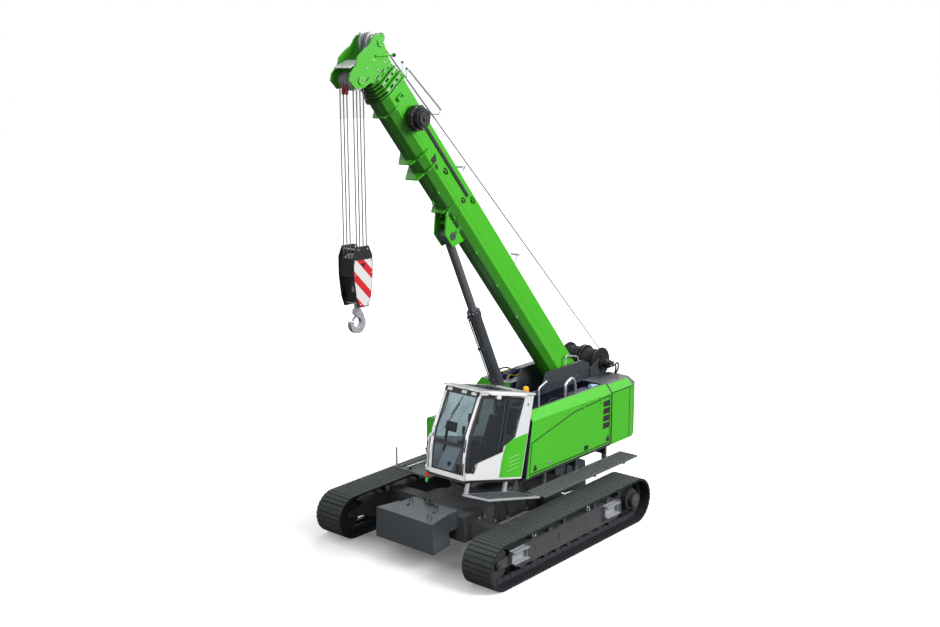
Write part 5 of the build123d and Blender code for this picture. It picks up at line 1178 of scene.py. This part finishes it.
left = Piece("left_machinery")
intake = bent(spots(on_deck, (-1.48, 0.95, 2.39), (-1.48, 0.95, 3.01), (-1.74, 0.95, 3.09),
                    (-1.84, 0.95, 2.9), (-1.84, 0.95, 2.6)), 0.09)
left.add(tube(intake, 0.034, 16), rail_steel)
for place, axis, radius, length, rim, sides, finish in (
        ((-2.0, 0.92, 2.6), FORWARD, 0.15, 0.42, 0.02, 32, black_plastic),
        ((-2.06, 0.92, 2.6), FORWARD, 0.06, 0.07, 0.01, 24, rail_steel),
        ((-2.2, 1.11, 2.384), UPWARD, 0.07, 0.38, 0.015, 24, violet_grey),
        ((-2.36, 1.11, 2.384), UPWARD, 0.07, 0.34, 0.015, 24, black_plastic),
        ((-0.42, 0.95, 2.32), UPWARD, 0.12, 0.3, 0.02, 28, black_plastic)):
    left.add(drum(on_deck(*place), axis, radius, length, rim, sides), finish)
left.add(slab(on_deck, (-2.44, -2.1), (0.76, 1.06), (2.384, 2.7)), violet_grey)
left.add(tube(spots(on_deck, (-2.17, 1.1, 2.835), (-2.43, 1.1, 2.77)), 0.045, 20), pale_blue)
left.add(slab(on_deck, (-1.4, 0.05), (0.7, 1.19), (2.3, 2.32)), slate_paint)
left.add(slab(on_deck, (-1.25, -0.65), (0.74, 1.12), (2.32, 2.62)), slate_paint)
for y, high in ((0.8, 2.7), (0.88, 2.66), (1.0, 2.64)):
    hose = curve(spots(on_deck, (-1.0, y, 2.61), (-1.2, y, high), (-1.45, y + 0.02, high - 0.06),
                       (-1.64, y, 2.56)), 20)
    left.add(tube(hose, 0.018, 8), rubber)
left.ride("superstructure")

right = Piece("right_machinery")
right.add(slab(on_deck, (-2.35, -1.65), (-1.15, -0.78), (2.484, 2.68)), slate_paint)
right.add(drum(on_deck(-2.25, -1.0, 2.76), FORWARD, 0.085, 0.5, 0.015, 24), black_plastic)
for number, (finish, y, high) in enumerate(((hose_yellow, -0.74, 2.86), (hose_blue, -0.8, 2.9),
                                            (rubber, -0.86, 2.88), (hose_blue, -0.93, 2.84),
                                            (hose_yellow, -1.06, 2.85), (rubber, -1.12, 2.88))):
    shift = 0.05 * (number % 3)
    hose = curve(spots(on_deck, (-1.56 - shift, y, 2.6), (-1.68 - shift, y, high),
                       (-1.95, y - 0.04, high - 0.07 + shift), (-2.22 + shift, y + 0.03, high),
                       (-2.38, y, 2.62)), 28)
    right.add(tube(hose, 0.02, 8), finish)
right.ride("superstructure")

# %% [markdown]
# Beside the winches sits the hydraulic motor's valve block with its hoses, and there is a hand rail
# on the cheek by the boom foot. The walkways get treads.

# %% Winch and deck fittings
MOTOR_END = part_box("winch_drives")[1][1]
deck = Piece("deck_fittings")
deck.add(slab(on_deck, (-3.74, -3.56), (MOTOR_END, MOTOR_END + 0.06), (2.9, 3.02)), black_paint)
for x, z in ((-3.7, 2.96), (-3.6, 2.93)):
    deck.add(drum(on_deck(x, MOTOR_END + 0.058, z), LEFTWARD, 0.024, 0.05, 0.004, 12), rail_steel)
    hose = curve(spots(on_deck, (x, MOTOR_END + 0.1, z), (x - 0.06, MOTOR_END + 0.15, z + 0.03),
                       (x - 0.1, MOTOR_END + 0.11, z - 0.16), (x + 0.02, MOTOR_END + 0.02, 2.62),
                       (x + 0.2, MOTOR_END - 0.12, 2.36)), 28)
    deck.add(tube(hose, 0.02, 10), rubber)
hand_rail = bent(spots(on_deck, (-2.3, 0.345, 3.14), (-2.33, 0.345, 3.37), (-2.76, 0.345, 3.26),
                       (-2.8, 0.345, 3.14)), 0.05)
deck.add(tube(hand_rail, 0.017, 12), rail_steel)
deck.add(drum(on_deck(-0.59, 0.58, 2.842), UPWARD, 0.07, 0.03, 0.004, 28), black_plastic)
for side in (-1, 1):
    ring = circle(beside, PIVOT[0] - SLEW_X, PIVOT[2], 0.105, 8, side * 0.376)
    deck.add(bolts(ring, (0, side, 0), 0.012, 0.012), rail_steel)
deck.add(tube(spots(on_deck, (1.06, -1.31, 1.3), (0.42, -1.28, 1.3)), 0.026, 14), rail_steel)
for x in (0.5, 0.98):
    deck.add(slab(on_deck, around(x, 0.02), (-1.32, -1.275), (1.251, 1.29)), black_paint)
for start, end, front in ((1.49, 1.865, 0.445), (-1.63, -1.47, 1.065)):
    for y in np.arange(start, end, 0.036):
        deck.add(slab(on_deck, (-2.865, front), around(y, 0.004), (1.224, 1.246)), walk_steel)
deck.ride("superstructure")

# %% [markdown]
# The cab's white frame is broken up by black: gaskets round the panes, the visor over the windscreen
# with its lamps, the slots in the corner posts and the frame under the floor. The green rear panel
# has louvres and slanted ribs, painted a paler green as a highlight with a black strip of painted
# shadow under each. The windscreen leans, so its pieces are placed in y and z with x read
# from the cab's profile.

# %% Cab trim
FRONT_Z, FRONT_FACE = (0.0, 0.43, 0.86, 1.7), (1.81, 1.87, 1.88, 1.67)
CAB_SKIN = 1.405
PANE = (0.59, 1.33)


def on_front(y, z, out):
    """Place of a point of the cab's front: across, up, and out from the face."""
    return in_cab(np.interp(z, FRONT_Z, FRONT_FACE) + out, z, y)


cab = Piece("cab_trim")
side_pane = [(0.8, 0.64), (0.8, 1.61), (0.311, 1.61), (0.432, 0.853)]
cab.add(band(side_pane, 0.034, (CAB_SKIN, 1.4085), in_cab, True), black_plastic)
for bottom, top in ((0.11, 0.62), (0.665, 1.6)):
    levels = [bottom, *[z for z in FRONT_Z if bottom < z < top], top]
    gasket = [(PANE[0], z) for z in levels] + [(PANE[1], z) for z in reversed(levels)]
    cab.add(band(gasket, 0.032, (0.0005, 0.006), on_front, True), black_plastic)
cab.add(band([(PANE[0], 0.642), (PANE[1], 0.642)], 0.06, (0.001, 0.012), on_front), black_plastic)
visor = [(0.535, 1.6), (0.535, 1.69), (1.375, 1.69), (1.375, 1.6)]
cab.add(plate(visor, (0.001, 0.03), on_front), black_plastic)
for y in (0.66, 1.02, 1.26):
    cab.add(slab(on_front, around(y, 0.06), (1.622, 1.678), (0.028, 0.04)), clear_lens)
for y, bottom, top in ((1.368, 0.54, 0.79), (1.368, 0.09, 0.33), (0.542, 0.7, 0.9)):
    cab.add(slab(on_front, around(y, 0.014), (bottom, top), (-0.004, 0.004)), black_plastic)
guard = [(0.505, 0.76), (0.44, 0.7), (0.405, 0.6), (0.405, 0.1), (0.44, 0.04), (0.505, 0.04)]
cab.add(band(guard, 0.04, (-0.06, -0.02), on_front), white_paint)
for bottom, top in ((0.36, 0.58), (0.11, 0.3)):
    cab.add(band([(0.405, bottom), (0.405, top)], 0.022, (-0.062, -0.016), on_front), black_plastic)
wiper = bent(spots(on_front, (1.02, 1.56, 0.03), (1.01, 1.5, 0.04), (0.87, 1.18, 0.028)), 0.03)
cab.add(tube(wiper, 0.009, 8), black_plastic)
cab.add(band([(0.99, 1.42), (0.8, 0.9)], 0.016, (0.012, 0.026), on_front), rubber)
hand_rail = curve(spots(on_front, (0.64, 1.56, 0.01), (0.7, 1.3, 0.05), (0.65, 1.02, 0.05),
                        (0.62, 0.9, 0.01)), 24)
cab.add(tube(hand_rail, 0.009, 8), black_plastic)
cab.add(slab(in_cab, (0.25, 1.79), (-0.05, -0.003), (0.515, 1.39)), black_paint)
cab.add(slab(in_cab, (1.17, 1.29), (1.596, 1.667), (1.456, 1.5)), white_paint)
cab.add(band([(0.33, 1.66), (1.48, 1.66)], 0.01, (1.4945, 1.498), in_cab), black_plastic)
cab.add(drum(in_cab(0.15, 1.5, CAB_SKIN), LEFTWARD, 0.024, 0.004, 0.001, 18), black_plastic)
for bottom in 0.33 + 0.06 * np.arange(4):
    louvre = slab(in_cab, (0.181, 0.479), (bottom + 0.0005, bottom + 0.0215), (CAB_SKIN + 0.0005, 1.4068))
    cab.add(louvre, green_paint)
# The ribs are painted a paler green as a highlight, and the black strip under each is a painted shadow.
for middle in 0.19 + 0.085 * np.arange(4):
    rib = [(0.5, middle - 0.05), (0.5, middle - 0.024), (0.17, middle + 0.066), (0.17, middle + 0.04)]
    cab.add(plate(rib, (1.4078, 1.4096), in_cab), rib_green)
    shade = [(0.5, middle - 0.054), (0.17, middle + 0.036)]
    cab.add(band(shade, 0.01, (1.4078, 1.4092), in_cab), black_plastic)
for bottom, length, radius, rim, finish in ((-0.112, 0.092, 0.034, 0.006, red_lens),
                                            (-0.21, 0.092, 0.034, 0.006, green_lens),
                                            (-0.118, 0.115, 0.03, 0.0, black_plastic)):
    cab.add(drum(in_cab(1.815, bottom, 0.5), CAB_UP, radius, length, rim, 20), finish)
cab.add(slab(in_cab, (1.77, 1.83), (-0.02, 0.02), (0.47, 0.53)), black_plastic)
for x in (0.32, 1.62):
    for y in (0.54, 1.38):
        cab.add(bolts(in_cab(x, 1.735, y), CAB_UP, 0.014, 0.01), track_steel)
cab.add(plate(rounded((0.535, 1.265), (0.635, 1.27), 0.04), (1.7355, 1.745), in_room), cab_glass)
cab.add(drum(in_cab(0.3, 1.735, 0.62), CAB_UP, 0.03, 0.06, 0.006, 18), black_plastic)
cab.ride("cab")

# %% [markdown]
# Black strips follow the door's frame and the slanted upper edge of its white panel. The step under
# it is a pale frame round a dark tread. Inside stand a desk, pedals, a monitor and two levers.

# %% Door trim, step and cab inside
DOOR_SKIN = 1.45
door = Piece("cab_door_trim")
upper = [(0.835, 0.59), (0.835, 1.62), (1.651, 1.62), (1.838, 0.852), (1.832, 0.43), (1.792, 0.16)]
lower = [(0.835, 0.59), (0.864, 0.552), (1.526, 0.362), (1.606, 0.182), (1.792, 0.16)]
for line, width in ((upper, 0.058), (lower, 0.022)):
    door.add(band(line, width, (DOOR_SKIN, DOOR_SKIN + 0.003), in_cab), black_plastic)
door.add(drum(in_cab(1.645, 0.206, DOOR_SKIN), LEFTWARD, 0.062, 0.012, 0.004, 28), black_plastic)
door.add(slab(in_cab, (1.6, 1.69), (0.19, 0.215), (DOOR_SKIN + 0.01, DOOR_SKIN + 0.022)), track_steel)
grip = bent(spots(in_cab, (0.9, 0.64, DOOR_SKIN), (0.9, 0.64, DOOR_SKIN + 0.045),
                  (0.9, 1.18, DOOR_SKIN + 0.045), (0.9, 1.18, DOOR_SKIN)), 0.02)
door.add(tube(grip, 0.01, 10), black_plastic)
door.ride("cab_door")

inside = Piece("cab_inside")
tread = [(1.755, 1.47), (1.632, 1.905), (0.125, 1.905), (0.262, 1.47)]
inside.add(plate(tread, (-0.2349, -0.232), in_room), black_plastic)
for y in np.arange(1.5, 1.9, 0.045):
    inside.add(slab(in_room, (0.26, 1.62), around(y, 0.006), (-0.232, -0.228)), slate_paint)
desk = [(1.48, 0.05), (1.74, 0.05), (1.56, 0.52), (1.48, 0.56)]
inside.add(plate(desk, (0.62, 1.0), in_cab), grey_paint)
for y in (0.88, 1.09, 1.2):
    inside.add(slab(in_cab, (1.66, 1.69), (0.09, 0.26), around(y, 0.035)), track_steel)
inside.add(slab(in_cab, (1.5, 1.53), (1.08, 1.24), (1.05, 1.3)), black_plastic)
inside.add(tube(spots(in_cab, (1.52, 1.24, 1.18), (1.5, 1.64, 1.18)), 0.012, 10), black_plastic)
for y in (0.63, 1.26):
    inside.add(drum(in_cab(1.09, 0.84, y), CAB_UP, 0.034, 0.07, 0.02, 18), black_plastic)
inside.ride("cab")

# %% [markdown]
# The car body's ballast has lifting eyes, and hoses leave it towards the travel motors. They end at
# the car body's side, because a track frame slides out beside them. The beacon gets its dome, and
# each track frame two lifting eyes.

# %% Undercarriage fittings
BALLAST_TOP = 0.985
under = Piece("undercarriage_fittings")
for end in (1, -1):
    for x, y in ((1.9, -0.41), (1.74, 0.13), (1.91, 0.28), (2.35, 0.5)):
        eye = bent([on_deck(end * x, y + shift, z) for shift, z in (
            (-0.045, BALLAST_TOP), (-0.045, 1.06), (0.045, 1.06), (0.045, BALLAST_TOP))], 0.035)
        under.add(tube(eye, 0.01, 10), slate_paint)
    for y in (-0.35, 0.35):
        under.add(bolts(on_deck(end * 2.05, y, BALLAST_TOP), UPWARD, 0.03, 0.022), track_steel)
for shift in (0.0, 0.16):
    loop = curve(spots(on_deck, (1.5, -0.3 + shift, 0.8), (1.56, -0.36 + shift, 0.98),
                       (1.68, -0.2 + shift, 1.04), (1.8, -0.06 + shift, 1.025),
                       (1.76, 0.02 + shift, BALLAST_TOP)), 28)
    under.add(tube(loop, 0.02, 10), rubber)
for start, end, lift in (((1.3, 0.45, 0.88), (1.18, 0.8, 0.74), 0.08),
                         ((1.2, 0.5, 0.88), (1.05, 0.82, 0.74), 0.11),
                         ((0.55, 0.66, 0.88), (0.72, 0.83, 0.55), 0.1),
                         ((0.4, 0.66, 0.88), (0.3, 0.82, 0.5), 0.09),
                         ((-0.5, 0.66, 0.88), (-0.3, 0.83, 0.52), 0.1)):
    halfway = np.mean([start, end], axis=0) + (0, 0.06, lift)
    under.add(tube(curve(spots(on_deck, start, halfway, end), 20), 0.017, 8), rubber)
    under.add(drum(on_deck(*end) - 0.03 * UPWARD, UPWARD, 0.024, 0.05, 0.006, 12), rail_steel)
under.ride("undercarriage")

lamp_low, lamp_high = np.array(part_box("beacon"))
dome = Piece("beacon_dome")
dome_foot = (*(lamp_low + lamp_high)[:2] / 2, lamp_high[2] - 0.005)
dome.add(drum(dome_foot, UPWARD, 0.062, 0.075, 0.028, 28), amber_lens)
dome.ride("superstructure")

for side, name in SIDES:
    eyes = Piece(f"{name}_lifting_eyes")
    for x in (1.186, -0.624):
        ring = arc(beside, x, 0.745, 0.048, -60, 240, side * (TRACK_MIDDLE + 0.178), 18)
        eyes.add(tube(ring, 0.014, 10), rail_steel)
    eyes.ride(f"{name}_crawler")


# %% [markdown]
# The camera stands where the photograph was taken from: its place and angles were worked out from
# corners of the machine, and its lens from how they spread.

# %% Camera
CAMERA_PLACE = on_deck(18.54, 15.47, 9.63)
LOOK_DIRECTION = math.radians(-139.343)
LOOK_DOWN = math.radians(11.679)
CAMERA_ROLL = math.radians(-0.178)
LENS_MM = 45.81

camera = linked("camera", bpy.data.cameras.new("camera"))
bpy.context.scene.camera = camera
camera.data.lens = LENS_MM
camera.data.clip_end = 500.0
camera.location = CAMERA_PLACE
aim = Euler((math.pi / 2 - LOOK_DOWN, 0.0, LOOK_DIRECTION - math.pi / 2)).to_matrix()
camera.rotation_euler = (aim @ Euler((0.0, 0.0, CAMERA_ROLL)).to_matrix()).to_euler()

# %% [markdown]
# A studio is a pale floor, a sky and a few soft lamps. The sky lights the shadows, more from above
# than from the side, but the camera and mirrors see it white. The big lamp on the machine's left
# gives the bright side, and a small one with a narrow beam reaches the cab's front. The floor looks
# white to the camera, with a painted shadow that darkens it under the machine and fades out 0.9 m
# beyond it, and with soft lamp shadows near it that fade out further off. It throws back little light,
# so that the undercarriage stays as dark below as it is in a yard.

# %% Light and floor
def soft_lamp(name, place, target, size, watts, spread=180.0):
    """Square area lamp that looks at a target and fans out by a spread."""
    lamp = linked(name, bpy.data.lights.new(name, "AREA"))
    lamp.data.size = size
    lamp.data.energy = watts
    lamp.data.spread = math.radians(spread)
    lamp.location = place
    lamp.rotation_euler = (Vector(target) - Vector(place)).to_track_quat("-Z", "Y").to_euler()


soft_lamp("key_lamp", (-5.0, 23.5, 17.0), (0.0, 0.0, 3.0), 12.0, 7100.0)
soft_lamp("front_lamp", (22.0, -4.0, 24.0), (0.0, 0.0, 3.0), 12.0, 1000.0)
soft_lamp("back_lamp", (-18.0, -14.0, 20.0), (0.0, 0.0, 4.0), 12.0, 1500.0)
soft_lamp("cab_lamp", (10.0, 3.5, 6.5), (1.8, 0.95, 2.5), 1.5, 16.0, 26.0)

SKY_LIGHT = 0.32
world = bpy.data.worlds.new("studio")
bpy.context.scene.world = world
world.use_nodes = True
sky = world.node_tree
path = sky.nodes.new("ShaderNodeLightPath")
seen, mirrored, through = (Value(sky, path.outputs[f"Is {kind} Ray"])
                           for kind in ("Camera", "Glossy", "Transmission"))
compass = sky.nodes.new("ShaderNodeTexCoord")
direction = sky.nodes.new("ShaderNodeSeparateXYZ")
sky.links.new(compass.outputs["Generated"], direction.inputs[0])
overhead = (Value(sky, direction.outputs["Z"]).clipped() * 1.5 + 0.25) * SKY_LIGHT
direct = (seen + mirrored * 0.9 + through).clipped()
connect(sky, direct * (overhead * -1.0 + 1.0) + overhead, sky.nodes["Background"].inputs["Strength"])
connect(sky, FULL_LIGHT, sky.nodes["Background"].inputs["Color"])

FLOOR_WHITE, FLOOR_DIM, FLOOR_HALF = (0.93, 0.93, 0.93), (0.12, 0.12, 0.12), 150.0
SHADOW_START, SHADOW_FADE = 3.6, 3.0
PAINTED_SHADOW_X, PAINTED_SHADOW_Y, PAINTED_SHADOW_FADE = 2.0, 1.6, 0.9
floor_paint = Finish("studio_floor", FLOOR_WHITE, 0.9)
straight = floor_paint.add("ShaderNodeLightPath", "Is Camera Ray")
x, y = floor_paint.parts(floor_paint.place)[:2]
far = (((x * x + y * y).maths("SQRT") - SHADOW_START) / SHADOW_FADE).clipped()
# Painted shadow: the floor's colour and glow fall to 0.3 over the machine's footprint and rise to full 0.9 m beyond
# it.
beyond_x, beyond_y = ((way.maths("ABSOLUTE") - reach).clipped() for way, reach in ((x, PAINTED_SHADOW_X), (y, PAINTED_SHADOW_Y)))
clear = ((beyond_x * beyond_x + beyond_y * beyond_y).maths("SQRT") / PAINTED_SHADOW_FADE).clipped() * 0.7 + 0.3
glow = straight * clear * (far * 0.65 + 0.35)
ground = floor_paint.mix(clear, NO_LIGHT, FLOOR_WHITE)
floor_paint.set("Base Color", floor_paint.mix(straight, FLOOR_DIM, ground))
floor_paint.set("Emission Color", floor_paint.mix(glow, NO_LIGHT, FULL_LIGHT))
floor_paint.set("Emission Strength", 1.0)
floor_mesh = bpy.data.meshes.new("floor")
floor_mesh.from_pydata([(-FLOOR_HALF, -FLOOR_HALF, 0), (FLOOR_HALF, -FLOOR_HALF, 0), (FLOOR_HALF, FLOOR_HALF, 0),
                        (-FLOOR_HALF, FLOOR_HALF, 0)], [], [(0, 1, 2, 3)])
floor_mesh.materials.append(floor_paint.material)
floor = linked("floor", floor_mesh)
bpy.context.scene.view_settings.view_transform = "Standard"
